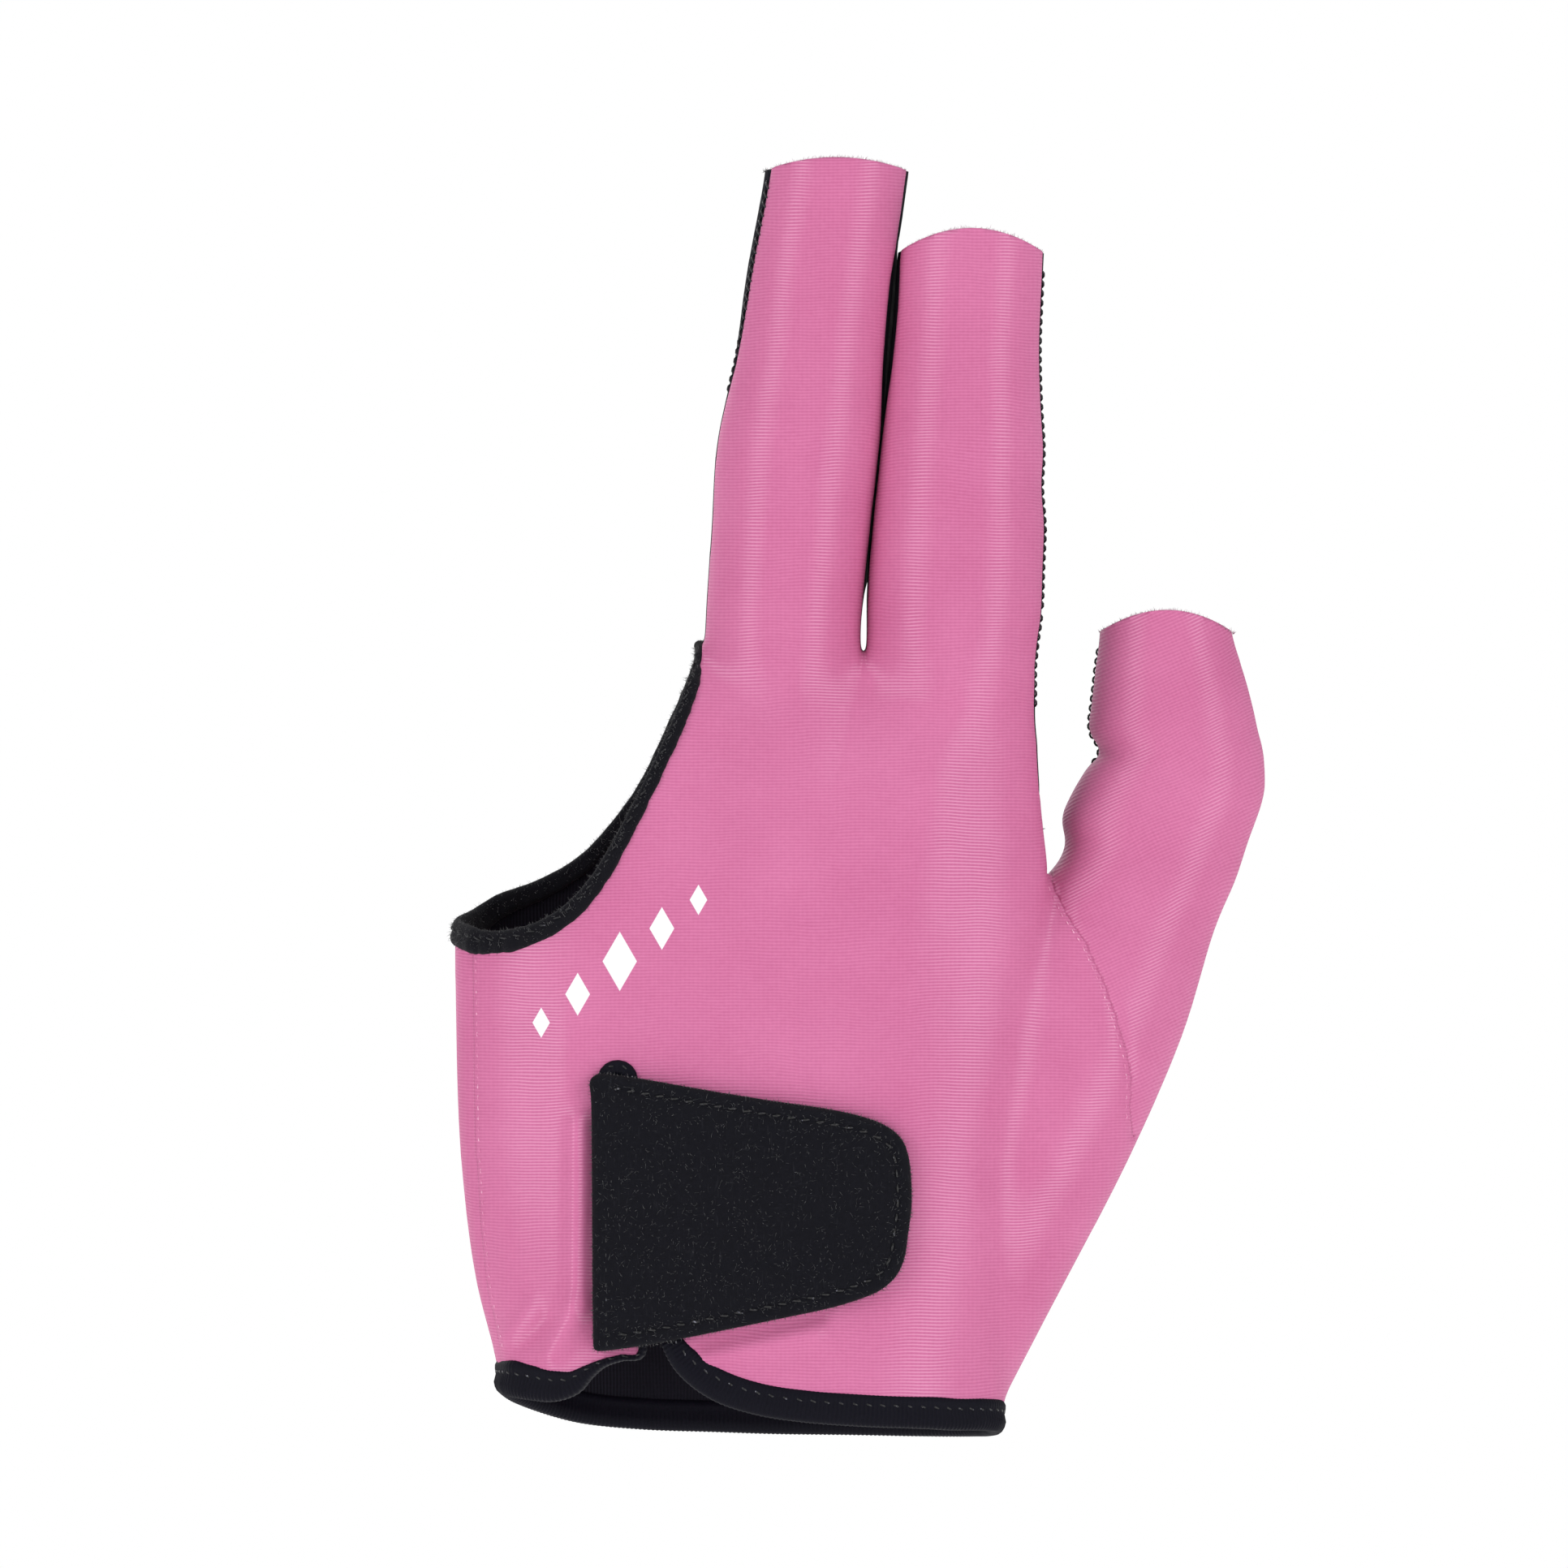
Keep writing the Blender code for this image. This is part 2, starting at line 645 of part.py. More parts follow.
def tab_form(name):
    """The tab: a sheet that follows the back of the hand, given its thickness outwards."""
    clear = WRIST_BINDING_THICKNESS / 2 - WALL / 2 + SEAM_GAP

    def build(shape):
        columns = []
        for row in TAB_ROWS:
            x = TAB_ROOT_ACROSS + row.along * TAB_LENGTH
            foot = TAB_FOOT + row.foot * TAB_WIDTH
            head = TAB_FOOT + row.head * TAB_WIDTH
            column = []
            for step in range(TAB_STEPS + 1):
                z = foot + (head - foot) * step / TAB_STEPS
                column.append(shape.verts.new(palm_point(palm_turn(x, z, 1), z, -clear)))
            columns.append(column)
        for left, right in zip(columns, columns[1:]):
            for step in range(TAB_STEPS):
                shape.faces.new((left[step], right[step], right[step + 1], left[step + 1]))

    made = new_object(name, build)
    thicken = made.modifiers.new("thickness", "SOLIDIFY")
    thicken.thickness = TAB_THICKNESS
    thicken.offset = 1.0
    return made


def material(name, colour, roughness):
    made = bpy.data.materials.new(name)
    made.use_nodes = True
    shader = made.node_tree.nodes["Principled BSDF"]
    shader.inputs["Base Color"].default_value = colour
    shader.inputs["Roughness"].default_value = roughness
    shader.inputs["Metallic"].default_value = 0.0
    return made


def finish(made, finish_material):
    made.data.materials.clear()
    made.data.materials.append(finish_material)
    made.data.shade_smooth()
    made.data.set_sharp_from_angle(angle=math.radians(40))


def hand_form(inset):
    """The whole hand as one solid: the glove's outside, or the hollow in it."""
    word = "hollow" if inset else "outside"
    whole = palm_form(word + "_of_hand", inset)
    fingers = [
        finger_form(word + "_of_middle", MIDDLE_ROWS, MIDDLE_LENGTH, MIDDLE_WIDTH, MIDDLE_DEPTH, -1, inset),
        finger_form(word + "_of_index", INDEX_ROWS, INDEX_LENGTH, INDEX_WIDTH, INDEX_DEPTH, 1, inset),
        thumb_form(word + "_of_thumb", inset),
    ]
    for finger in fingers:
        boolean(whole, "UNION", guide(finger))
    return guide(whole)


def panel(name, cloth, cuts, finish_material):
    made = bpy.data.objects.new(name, cloth.copy())
    bpy.context.collection.objects.link(made)
    for operation, cutter in cuts:
        boolean(made, operation, cutter)
    finish(made, finish_material)
    return made


for old in list(bpy.data.objects):
    bpy.data.objects.remove(old)

outside = hand_form(0.0)
boolean(outside, "DIFFERENCE", hand_form(WALL))
evaluated = outside.evaluated_get(bpy.context.evaluated_depsgraph_get())
cloth = bpy.data.meshes.new_from_object(evaluated)

opening_line = opening_path()
wrist_line = wrist_path()
opening_cut = opening_block("opening_cut")
opening_seat = guide(binding_form("opening_seat", opening_line, OPENING_BINDING_THICKNESS, SEAM_GAP))
wrist_seat = guide(binding_form("wrist_seat", wrist_line, WRIST_BINDING_THICKNESS, SEAM_GAP))
flap_cut = flap_block("flap_cut", wrist_line)
back_side = seam_block("back_side", -1)
palm_side = seam_block("palm_side", 1)
strip = strip_block("strip", 0.0)
strip_seat = strip_block("strip_seat", SEAM_GAP)
thumb_side = thumb_block("thumb_side", 0.0)
thumb_seat = thumb_block("thumb_seat", SEAM_GAP)

pink_knit = material("pink_knit", PINK_KNIT, 0.6)
black_knit = material("black_knit", BLACK_KNIT, 0.7)
black_felt = material("black_felt", BLACK_FELT, 0.95)

opening_edge = [("DIFFERENCE", opening_cut), ("DIFFERENCE", opening_seat)]
wrist_edge = [("DIFFERENCE", wrist_seat)]
slit_edge = [("DIFFERENCE", flap_cut)]
back = [("INTERSECT", back_side), ("DIFFERENCE", strip_seat), ("DIFFERENCE", thumb_seat)]
panel("back_panel", cloth, back + slit_edge + opening_edge + wrist_edge, pink_knit)
thumb = [("INTERSECT", back_side), ("INTERSECT", thumb_side)]
panel("thumb_panel", cloth, thumb, pink_knit)
panel("side_panel", cloth, [("INTERSECT", strip)] + opening_edge + wrist_edge, pink_knit)
palm = [("INTERSECT", palm_side), ("DIFFERENCE", strip_seat)]
panel("palm_panel", cloth, palm + opening_edge + wrist_edge, black_knit)

finish(binding_form("finger_opening_binding", opening_line, OPENING_BINDING_THICKNESS), black_knit)
finish(binding_form("wrist_binding", wrist_line, WRIST_BINDING_THICKNESS), black_knit)
finish(tab_form("closure_tab"), black_felt)
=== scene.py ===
"""Looks of a billiard glove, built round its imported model."""
import math

import bpy
import numpy as np
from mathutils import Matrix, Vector
from mathutils.bvhtree import BVHTree


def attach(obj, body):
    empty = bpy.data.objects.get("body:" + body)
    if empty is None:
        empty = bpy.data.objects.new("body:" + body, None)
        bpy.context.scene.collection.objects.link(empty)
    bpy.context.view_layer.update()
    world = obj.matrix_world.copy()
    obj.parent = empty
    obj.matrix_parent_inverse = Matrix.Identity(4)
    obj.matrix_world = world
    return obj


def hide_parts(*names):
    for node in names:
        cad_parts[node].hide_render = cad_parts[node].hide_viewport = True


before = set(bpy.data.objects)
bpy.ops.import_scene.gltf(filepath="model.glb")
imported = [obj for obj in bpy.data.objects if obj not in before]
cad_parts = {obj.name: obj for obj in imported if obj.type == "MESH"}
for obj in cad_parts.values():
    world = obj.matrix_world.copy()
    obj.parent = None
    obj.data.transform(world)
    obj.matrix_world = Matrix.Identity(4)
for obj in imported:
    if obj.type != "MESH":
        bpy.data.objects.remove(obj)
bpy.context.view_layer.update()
bpy.ops.object.select_all(action="DESELECT")

# Camera, light and stage
# A long lens looks square at the glove's back. Two wide soft lights stand in
# front to the left and right, over a round table of white translucent acrylic.
CAMERA_AT = (0.00464, -2.4, 0.0941)
FRAME_WIDTH = 0.2241
SENSOR = 36.0
FLOOR_LEVEL = -0.15
FLOOR_RADIUS = 2.6
ROOM_LIGHT = 0.42


def from_hex(code, alpha=1.0):
    """An sRGB hex colour as linear numbers."""
    values = [int(code[place:place + 2], 16) / 255 for place in (1, 3, 5)]
    linear = [value / 12.92 if value < 0.04045 else ((value + 0.055) / 1.055) ** 2.4 for value in values]
    return linear + [alpha]


def add_node(material, kind, settings=None, links=None, values=None):
    """A node of a material, with its settings, linked inputs and values of inputs."""
    tree = material.node_tree
    made = tree.nodes.new("ShaderNode" + kind)
    for name, value in (settings or {}).items():
        setattr(made, name, value)
    for name, value in (values or {}).items():
        made.inputs[name].default_value = value
    for name, source in (links or {}).items():
        tree.links.new(source, made.inputs[name])
    return made


def new_material(name, base, values):
    """A material with its shader, and the shader."""
    made = bpy.data.materials.new(name)
    made.use_nodes = True
    shader = made.node_tree.nodes["Principled BSDF"]
    shader.inputs["Base Color"].default_value = from_hex(base)
    for key, value in values.items():
        shader.inputs[key].default_value = value
    return made, shader


bpy.ops.object.camera_add(location=CAMERA_AT, rotation=(math.radians(90), 0, 0))
camera = bpy.context.object
camera.data.sensor_width = SENSOR
camera.data.lens = SENSOR * abs(CAMERA_AT[1]) / FRAME_WIDTH
camera.data.clip_end = 20
bpy.context.scene.camera = camera

floor_at = (0, 0, FLOOR_LEVEL)
bpy.ops.mesh.primitive_circle_add(vertices=96, radius=FLOOR_RADIUS, fill_type="NGON", location=floor_at)
floor = bpy.context.object
floor.name = "studio_floor"
glow = {"Roughness": 0.9, "Emission Strength": 0.35}
acrylic, acrylic_shader = new_material("white_acrylic", "#FFFFFF", glow)
acrylic_shader.inputs["Emission Color"].default_value = (1, 1, 1, 1)
floor.data.materials.append(acrylic)

for name, place, power, size in (
    ("left_softbox", (-1.3, -1.1, 0.45), 11.5, 0.9),
    ("right_softbox", (1.3, -1.1, 0.45), 11.5, 0.9),
    ("top_softbox", (0.0, -0.2, 1.5), 6, 1.2),
    ("rear_softbox", (-0.7, 1.6, 0.7), 9, 1.0),
):
    bpy.ops.object.light_add(type="AREA", location=place)
    light = bpy.context.object
    light.name = name
    light.data.energy = power
    light.data.size = size
    towards = Vector((0, 0, 0.09)) - Vector(place)
    light.rotation_euler = towards.to_track_quat("-Z", "Y").to_euler()
world = bpy.data.worlds.new("studio")
bpy.context.scene.world = world
world.use_nodes = True
room = world.node_tree.nodes["Background"]
room.inputs["Color"].default_value = (1, 1, 1, 1)
# the camera sees a white room, and the glove is lit by a dimmer one
seen = world.node_tree.nodes.new("ShaderNodeLightPath")
dimmed = world.node_tree.nodes.new("ShaderNodeMapRange")
dimmed.inputs["To Min"].default_value = ROOM_LIGHT
dimmed.inputs["To Max"].default_value = 1.0
world.node_tree.links.new(seen.outputs["Is Camera Ray"], dimmed.inputs["Value"])
world.node_tree.links.new(dimmed.outputs["Result"], room.inputs["Strength"])
bpy.context.scene.view_settings.view_transform = "Standard"

# The knit drawn tight
# Two-way stretch warp knit, filled out at the palm, the thumb and two fingers.
# Its skin is formed at once, so that every panel is cut from the same surface.
MM = 0.001
KNIT_WALL = 0.9
FORM_VOXEL = 0.8
ROUNDNESS = 2.35
FINGER_ROUNDNESS = 2.15
FORM_SIDES = 96
FORM_STEP = 1.2
SPREAD = 1.2
SPREAD_FROM, SPREAD_RUN = 100.0, 11.0
SMOOTHED_OFF = 0.34
PALM_LEAN = 2.1
LEAN_SPREAD = 4
SMOOTHING = 6
WEB_SMOOTHING = 60

# mm: height, left edge, right edge, depth of the back, depth of the palm side
BODY = [
    (-7, -33.6, 34.4, 18.0, 20.6), (0, -34.6, 35.0, 17.9, 20.5), (6, -35.7, 36.2, 17.8, 20.1),
    (11.3, -36.5, 36.4, 17.6, 19.8), (22.6, -39.3, 37.7, 17.0, 18.9), (38.4, -41.4, 39.9, 16.0, 17.9),
    (59.9, -42.3, 41.7, 15.2, 17.0), (82.5, -42.0, 42.3, 14.5, 15.4), (90, -41.2, 41.5, 13.8, 14.3),
    (98.3, -39.9, 41.3, 12.8, 12.8), (106.2, -38.2, 41.0, 9.9, 9.9), (110.7, -37.3, 40.5, 7, 7),
    (113, -36.5, 39.5, 3.8, 3.8),
]
MIDDLE_FINGER = [
    (92.4, -3.5, 15.3, 7.8, 7.4), (108.9, -6.95, 15.5, 10.5, 9.6), (116.8, -6.7, 15.55, 10.4, 9.5),
    (130.7, -5.8, 16.85, 10.0, 9.4), (142.9, -5.0, 18.2, 9.9, 9.2), (155.1, -2.4, 19.1, 9.2, 9.0),
    (166.1, -0.9, 20.1, 8.7, 8.6), (181.8, 1.9, 22.2, 8.0, 8.2), (188, 2.7, 22.9, 7.8, 8.1),
]
INDEX_FINGER = [
    (92.4, 17.5, 37.5, 7.6, 7.3), (109, 16.5, 40.8, 10.4, 9.5), (113.7, 16.5, 40.9, 10.4, 9.5),
    (118, 16.6, 41.5, 10.2, 9.4), (124.9, 16.9, 41.8, 9.9, 9.3), (131.9, 17.5, 42.0, 9.8, 9.2),
    (136.5, 18.0, 41.6, 9.7, 9.1), (141.2, 18.5, 41.9, 9.6, 9.1), (148, 19.2, 41.5, 9.3, 9.0),
    (157.4, 20.2, 41.3, 8.9, 8.8), (162, 20.6, 41.5, 8.6, 8.6), (170, 21.2, 41.9, 8.2, 8.4),
    (178, 22.9, 42.1, 8.0, 8.2),
]
# mm: order, across, up, degrees of tilt, inner, outer, back, front, shift to the palm
THUMB = [
    (0, 18.0, 8.0, 26, 16.9, 16.9, 12.6, 13.8, 3.5), (1, 27.0, 26.0, 26, 17.6, 17.5, 13.5, 15.0, 5.0),
    (2, 37.0, 46.1, 26, 18.0, 18.0, 13.5, 15.6, 6.0), (3, 46.0, 64.0, 24, 16.9, 16.9, 12.6, 15.0, 7.0),
    (4, 52.6, 77.4, 19, 11.0, 14.4, 11.4, 12.9, 8.0), (5, 55.6, 83.2, 12, 10.9, 14.1, 11.0, 12.2, 8.6),
    (6, 57.4, 87.4, 7, 13.2, 13.9, 10.8, 11.7, 9.0), (7, 60.0, 92.8, 2, 13.9, 13.5, 10.5, 11.1, 9.5),
    (8, 61.4, 96.8, 0, 13.1, 12.2, 10.3, 10.7, 9.9), (9, 61.7, 98.6, 0, 11.5, 11.8, 10.2, 10.5, 10.0),
    (10, 60.6, 101.6, 0, 12.3, 12.1, 10.2, 10.5, 10.0), (11, 60.3, 105.0, 0, 11.7, 11.7, 9.9, 10.5, 10.0),
    (12, 59.9, 110.2, 0, 10.7, 10.7, 9.3, 9.9, 10.0), (13, 59.4, 116.0, 0, 9.5, 9.5, 8.7, 9.3, 10.0),
    (14, 59.2, 123.0, 0, 9.2, 9.2, 8.5, 9.1, 10.0),
]
# mm: height, middle of the slot between the fingers, half its width
SLOT = [
    (85, 16.0, 0.5), (113, 16.0, 0.5), (117, 16.05, 0.42), (122, 16.3, 0.15), (126, 16.6, 0.07),
    (131, 17.1, 0.05), (141.2, 18.3, 0.05), (150, 19.1, 0.05), (157.4, 19.7, 0.06), (166, 20.4, 0.08),
    (170.2, 20.8, 0.12), (174, 21.6, 0.15), (178, 22.4, 0.15), (190, 24.4, 0.2),
]


def on_rows(rows, at):
    """The values of a table at places of its first column, on smooth curves through its rows."""
    rows = np.array(rows, float)
    places, values = rows[:, 0], rows[:, 1:]
    slopes = np.gradient(values, places, axis=0)
    at = np.clip(np.atleast_1d(at), places[0], places[-1])
    low = np.clip(np.searchsorted(places, at) - 1, 0, len(places) - 2)
    span = places[low + 1] - places[low]
    share = ((at - places[low]) / span)[:, None]
    span = span[:, None]
    square, cube = share ** 2, share ** 3
    found = (2 * cube - 3 * square + 1) * values[low] + (cube - 2 * square + share) * slopes[low] * span
    return found + (3 * square - 2 * cube) * values[low + 1] + (cube - square) * slopes[low + 1] * span


def section(left, right, back, front, roundness):
    """Points of an oval section: across and deep."""
    turn = np.linspace(0, 2 * np.pi, FORM_SIDES, endpoint=False)
    across = np.sign(np.cos(turn)) * np.abs(np.cos(turn)) ** (2 / roundness)
    deep = np.abs(np.sin(turn)) ** (2 / roundness)
    x = (left + right) / 2 + across * (right - left) / 2
    return x, np.where(np.sin(turn) > 0, -deep * back, deep * front)


def upright_rings(rows, roundness):
    """Level sections of a table's rows, from its foot to its top."""
    rings = []
    for z in np.arange(rows[0][0], rows[-1][0] + 0.01, FORM_STEP):
        x, y = section(*on_rows(rows, z)[0], roundness)
        rings.append(np.stack([x, y, np.full_like(x, z)], axis=1))
    return rings


def thumb_rings():
    """Tilted sections of the thumb."""
    rings = []
    for place in np.arange(0, THUMB[-1][0] + 0.01, 0.1):
        across, up, tilt, inner, outer, back, front, shift = on_rows(THUMB, place)[0]
        x, y = section(-inner, outer, back, front, FINGER_ROUNDNESS + 0.1)
        tilt = math.radians(tilt)
        rings.append(np.stack([across + x * math.cos(tilt), y + shift, up - x * math.sin(tilt)], axis=1))
    return rings


def tube_faces(rings, closed=False, first=0):
    """Faces between rings with as many points each."""
    count = len(rings[0])
    faces = []
    for ring in range(len(rings) if closed else len(rings) - 1):
        low, high = first + ring * count, first + (ring + 1) % len(rings) * count
        for side in range(count):
            after = (side + 1) % count
            faces.append((low + side, low + after, high + after, high + side))
    return faces


def mesh_object(name, points, faces):
    """A mesh object, from points in mm."""
    mesh = bpy.data.meshes.new(name)
    mesh.from_pydata((np.asarray(points) * MM).tolist(), [], [tuple(face) for face in faces])
    mesh.update()
    made = bpy.data.objects.new(name, mesh)
    bpy.context.collection.objects.link(made)
    return made


def slot_at(points):
    """The slot's middle and half width at points, and how far the fingers are moved off it."""
    slot, half = on_rows(SLOT, points[:, 2]).T
    push = SPREAD * np.clip((points[:, 2] - SPREAD_FROM) / SPREAD_RUN, 0, 1)
    return slot, half, push


def fingers_apart(points):
    """Points with the two fingers moved aside, so that the slot outlives the remesh."""
    slot, half, push = slot_at(points)
    off = points[:, 0] - slot
    off = np.where(np.abs(off) < half, off * (half + push) / half, off + np.sign(off) * push)
    return np.stack([slot + off, points[:, 1], points[:, 2]], axis=1)


def palm_lean(points):
    """How far the palm side leans towards the thumb, so that black shows between the fingers."""
    up = step_up(points[:, 2], 119, 125) * (1 - 0.8 * step_up(points[:, 2], 166, 172))
    return PALM_LEAN * step_up(points[:, 1], 0, 6) * up


def fingers_together(points):
    """Points with the fingers moved back, over what smoothing took off them too."""
    slot, half, push = slot_at(points)
    off = points[:, 0] - slot
    taken = SMOOTHED_OFF * push / SPREAD
    wide = half + push + taken
    back = push + taken * near(np.maximum(np.abs(off) - wide, 0), 0, LEAN_SPREAD)
    off = np.where(np.abs(off) < wide, off * half / wide, off - np.sign(off) * back)
    off = off + palm_lean(points) * near(off, 0, LEAN_SPREAD)
    return np.stack([slot + off, points[:, 1], points[:, 2]], axis=1)


def near(value, middle, spread):
    """A smooth bump of height 1 at the middle."""
    return np.exp(-((value - middle) / spread) ** 2)


def step_up(value, start, end):
    """A smooth step from 0 at the start to 1 at the end."""
    share = np.clip((value - start) / (end - start), 0, 1)
    return share * share * (3 - 2 * share)


points, faces = [], []
for rings in (
    upright_rings(BODY, ROUNDNESS), upright_rings(MIDDLE_FINGER, FINGER_ROUNDNESS),
    upright_rings(INDEX_FINGER, FINGER_ROUNDNESS), thumb_rings(),
):
    first = len(points)
    faces += tube_faces(rings, first=first)
    faces.append(tuple(range(first, first + FORM_SIDES))[::-1])
    points += [point for ring in rings for point in ring]
    faces.append(tuple(range(len(points) - FORM_SIDES, len(points))))
form = mesh_object("glove_form", fingers_apart(np.array(points)), faces)
bpy.context.view_layer.objects.active = form
form.select_set(True)
remesh = form.modifiers.new("skin", "REMESH")
remesh.mode = "VOXEL"
remesh.voxel_size = FORM_VOXEL * MM
bpy.ops.object.modifier_apply(modifier="skin")

skin = np.empty(len(form.data.vertices) * 3)
form.data.vertices.foreach_get("co", skin)
skin = skin.reshape(-1, 3) / MM
edges = np.empty(len(form.data.edges) * 2, int)
form.data.edges.foreach_get("vertices", edges)
edges = edges.reshape(-1, 2)
skin_faces = [tuple(polygon.vertices) for polygon in form.data.polygons]
bpy.data.objects.remove(form)
degree = np.bincount(edges.ravel(), minlength=len(skin)).astype(float)


def relaxed(points, share):
    """Points drawn towards the middles of their neighbours."""
    total = np.zeros_like(points)
    for axis in range(3):
        total[:, axis] += np.bincount(edges[:, 0], points[edges[:, 1], axis], len(points))
        total[:, axis] += np.bincount(edges[:, 1], points[edges[:, 0], axis], len(points))
    return points + (total / degree[:, None] - points) * np.reshape(share, (-1, 1))


for turn in range(SMOOTHING):
    skin = relaxed(skin, 0.5)
# the webs at the thumb and at the roots of the fingers are drawn over in wide curves
skin_x, skin_z = skin[:, 0], skin[:, 2]
web = near(skin_x, 48, 11) * (1 - step_up(skin_z, 62, 78)) + near(skin_z, 103, 8) * (skin_x < 42)
web = np.clip(web, 0, 1) * (1 - near(skin_z, 113, 5) * near(skin_x, 16, 4))
for turn in range(WEB_SMOOTHING):
    skin = relaxed(skin, 0.5 * web)
skin = fingers_together(skin)


def normals_of(points, faces):
    """Outward directions at points of a mesh of quads."""
    quads = np.array([face if len(face) == 4 else (*face, face[-1])[:4] for face in faces])
    across = points[quads[:, 2]] - points[quads[:, 0]]
    along = points[quads[:, 3]] - points[quads[:, 1]]
    flat = np.cross(across, along)
    total = np.zeros_like(points)
    for corner in range(4):
        for axis in range(3):
            total[:, axis] += np.bincount(quads[:, corner], flat[:, axis], len(points))
    return total / np.maximum(np.linalg.norm(total, axis=1), 1e-9)[:, None]


def line_near(points, start, end, spread):
    """1 on a line, falling to its sides, and the share of the way along it. start, end: across, up."""
    start, end = np.array(start, float), np.array(end, float)
    flat = points[:, [0, 2]]
    along = end - start
    share = np.clip(((flat - start) @ along) / (along @ along), 0, 1)
    gap = np.linalg.norm(flat - (start + share[:, None] * along), axis=1)
    return np.exp(-(gap / spread) ** 2), share


# mm: start and end of each line as across and up, its spread, its height, and how far it fades towards
# its end: ridges and hollows of the back, then the roll and the folds round the tab
BACK_LINES = [
    ((5, 106), (-3, 56), 4.6, 0.9, 1), ((28, 106), (19, 58), 5.0, 0.9, 1),
    ((16, 108), (11, 78), 3.4, -1.0, 1), ((-7, 100), (-16, 66), 4.5, -0.5, 1),
    ((48, 66), (36, 40), 5.0, -0.5, 0), ((-26, 60), (-26.5, 22), 3.6, 0.5, 0),
    ((-24.6, 46), (-24.8, 20), 1.4, 1.25, 0), ((-24.8, 20), (-28.5, 13), 1.7, 1.2, 0),
    ((-22, 46), (-22, 16), 1.4, -0.7, 0), ((-35, 15), (-31, 20), 1.2, 0.5, 0),
    ((-33, 14), (-29, 18), 0.9, -0.6, 0), ((-37.5, 30), (-36.5, 18), 1.2, -0.3, 0),
    ((-7, 14.6), (10, 18.6), 0.9, -0.8, 0), ((-6, 12.6), (9, 16.2), 1.3, 0.5, 0),
]
# mm: the same for folds and pads of the palm side, none of them fading
PALM_LINES = [
    ((29, 88), (8, 34), 3.2, -0.8, 0), ((34, 92), (-14, 74), 2.6, -0.5, 0),
    ((24, 101), (-22, 84), 2.4, -0.45, 0), ((-2, 122), (16, 122), 1.6, -0.35, 0),
    ((18, 124), (40, 124), 1.6, -0.35, 0), ((-2, 148), (18, 148), 1.5, -0.35, 0),
    ((20, 146), (41, 146), 1.5, -0.35, 0), ((50, 92), (70, 94), 1.6, -0.4, 0),
    ((30, 22), (12, 17), 2.0, -0.3, 0), ((-30, 22), (-8, 18), 1.8, -0.3, 0),
    ((41, 52), (30, 78), 5.0, 0.5, 0), ((-28, 36), (-24, 68), 6.0, 0.5, 0),
]


def relief(points):
    """How far the knit stands out or sinks, in ridges and folds."""
    back = (points[:, 1] < 0).astype(float)
    palm = (1 - back) * step_up(points[:, 1], 2, 6)
    found = np.zeros(len(points))
    for lines, side in ((BACK_LINES, back), (PALM_LINES, palm)):
        for start, end, spread, height, fade in lines:
            close, share = line_near(points, start, end, spread)
            found += height * close * (1 - fade * share) * side
    return found


skin_normals = normals_of(skin, skin_faces)
skin = skin + skin_normals * relief(skin)[:, None]
skin_normals = normals_of(skin, skin_faces)
skin_tree = BVHTree.FromPolygons(skin.tolist(), skin_faces)
FROM_FACE, FROM_SIDE = 60, 90


def on_back(x, z):
    """The point of the skin on the back side, and the direction outwards there."""
    return skin_tree.ray_cast(Vector((x, -FROM_FACE, z)), Vector((0, 1, 0)))[:2]


def on_front(x, z):
    """The same on the palm side."""
    return skin_tree.ray_cast(Vector((x, FROM_FACE, z)), Vector((0, -1, 0)))[:2]


def on_turn(turn, z):
    """The same at a turn round the glove, from the thumb's side over the back."""
    outwards = Vector((math.cos(math.radians(turn)), -math.sin(math.radians(turn)), 0))
    return skin_tree.ray_cast(outwards * FROM_SIDE + Vector((0, 0, z)), -outwards)[:2]


# Paths of the two bindings
# The knit ends inside a folded tape at the wrist, up round the slit, and at the
# side opening. The panels are cut along these lines.
SLIT_TOP = (-19.0, 52.0)
SLIT_FOOT = (-14.3, 19.0)
SLIT_HALF = 1.75
SLIT_TAPE, SLIT_SINK = 2.3, 0.1
# mm: across, height and width of the wrist's tape over the back, left and right of the slit
WRIST_LEFT = [
    (-34.6, 9.4, 5.4), (-31.6, 9.0, 5.3), (-28.4, 8.6, 4.8), (-25.6, 9.0, 3.6), (-23.4, 10.5, 2.2),
    (-21.2, 11.8, 1.3), (-18.6, 12.6, 1.0), (-15.6, 13.3, 1.0),
]
WRIST_RIGHT = [
    (-11.7, 15.8, 3.0), (-9.0, 11.9, 4.2), (-4.4, 8.7, 4.7), (1.4, 6.8, 4.7), (8.0, 5.8, 4.7),
    (16.0, 5.2, 4.7), (24.6, 4.8, 4.7),
]
# degrees round the glove and mm: turn, height and width of it round the rest
WRIST_ROUND = [
    (23, 4.5, 4.7), (14, 4.3, 4.7), (5, 3.9, 4.7), (-8, 3.0, 4.7), (-20, 2.6, 4.7), (-35, 2.6, 4.7),
    (-55, 2.7, 4.7), (-80, 2.8, 4.7), (-105, 3.1, 4.7), (-130, 3.5, 4.7), (-148, 4.6, 4.7),
    (-164, 7.2, 4.7), (-176, 9.2, 4.7),
]
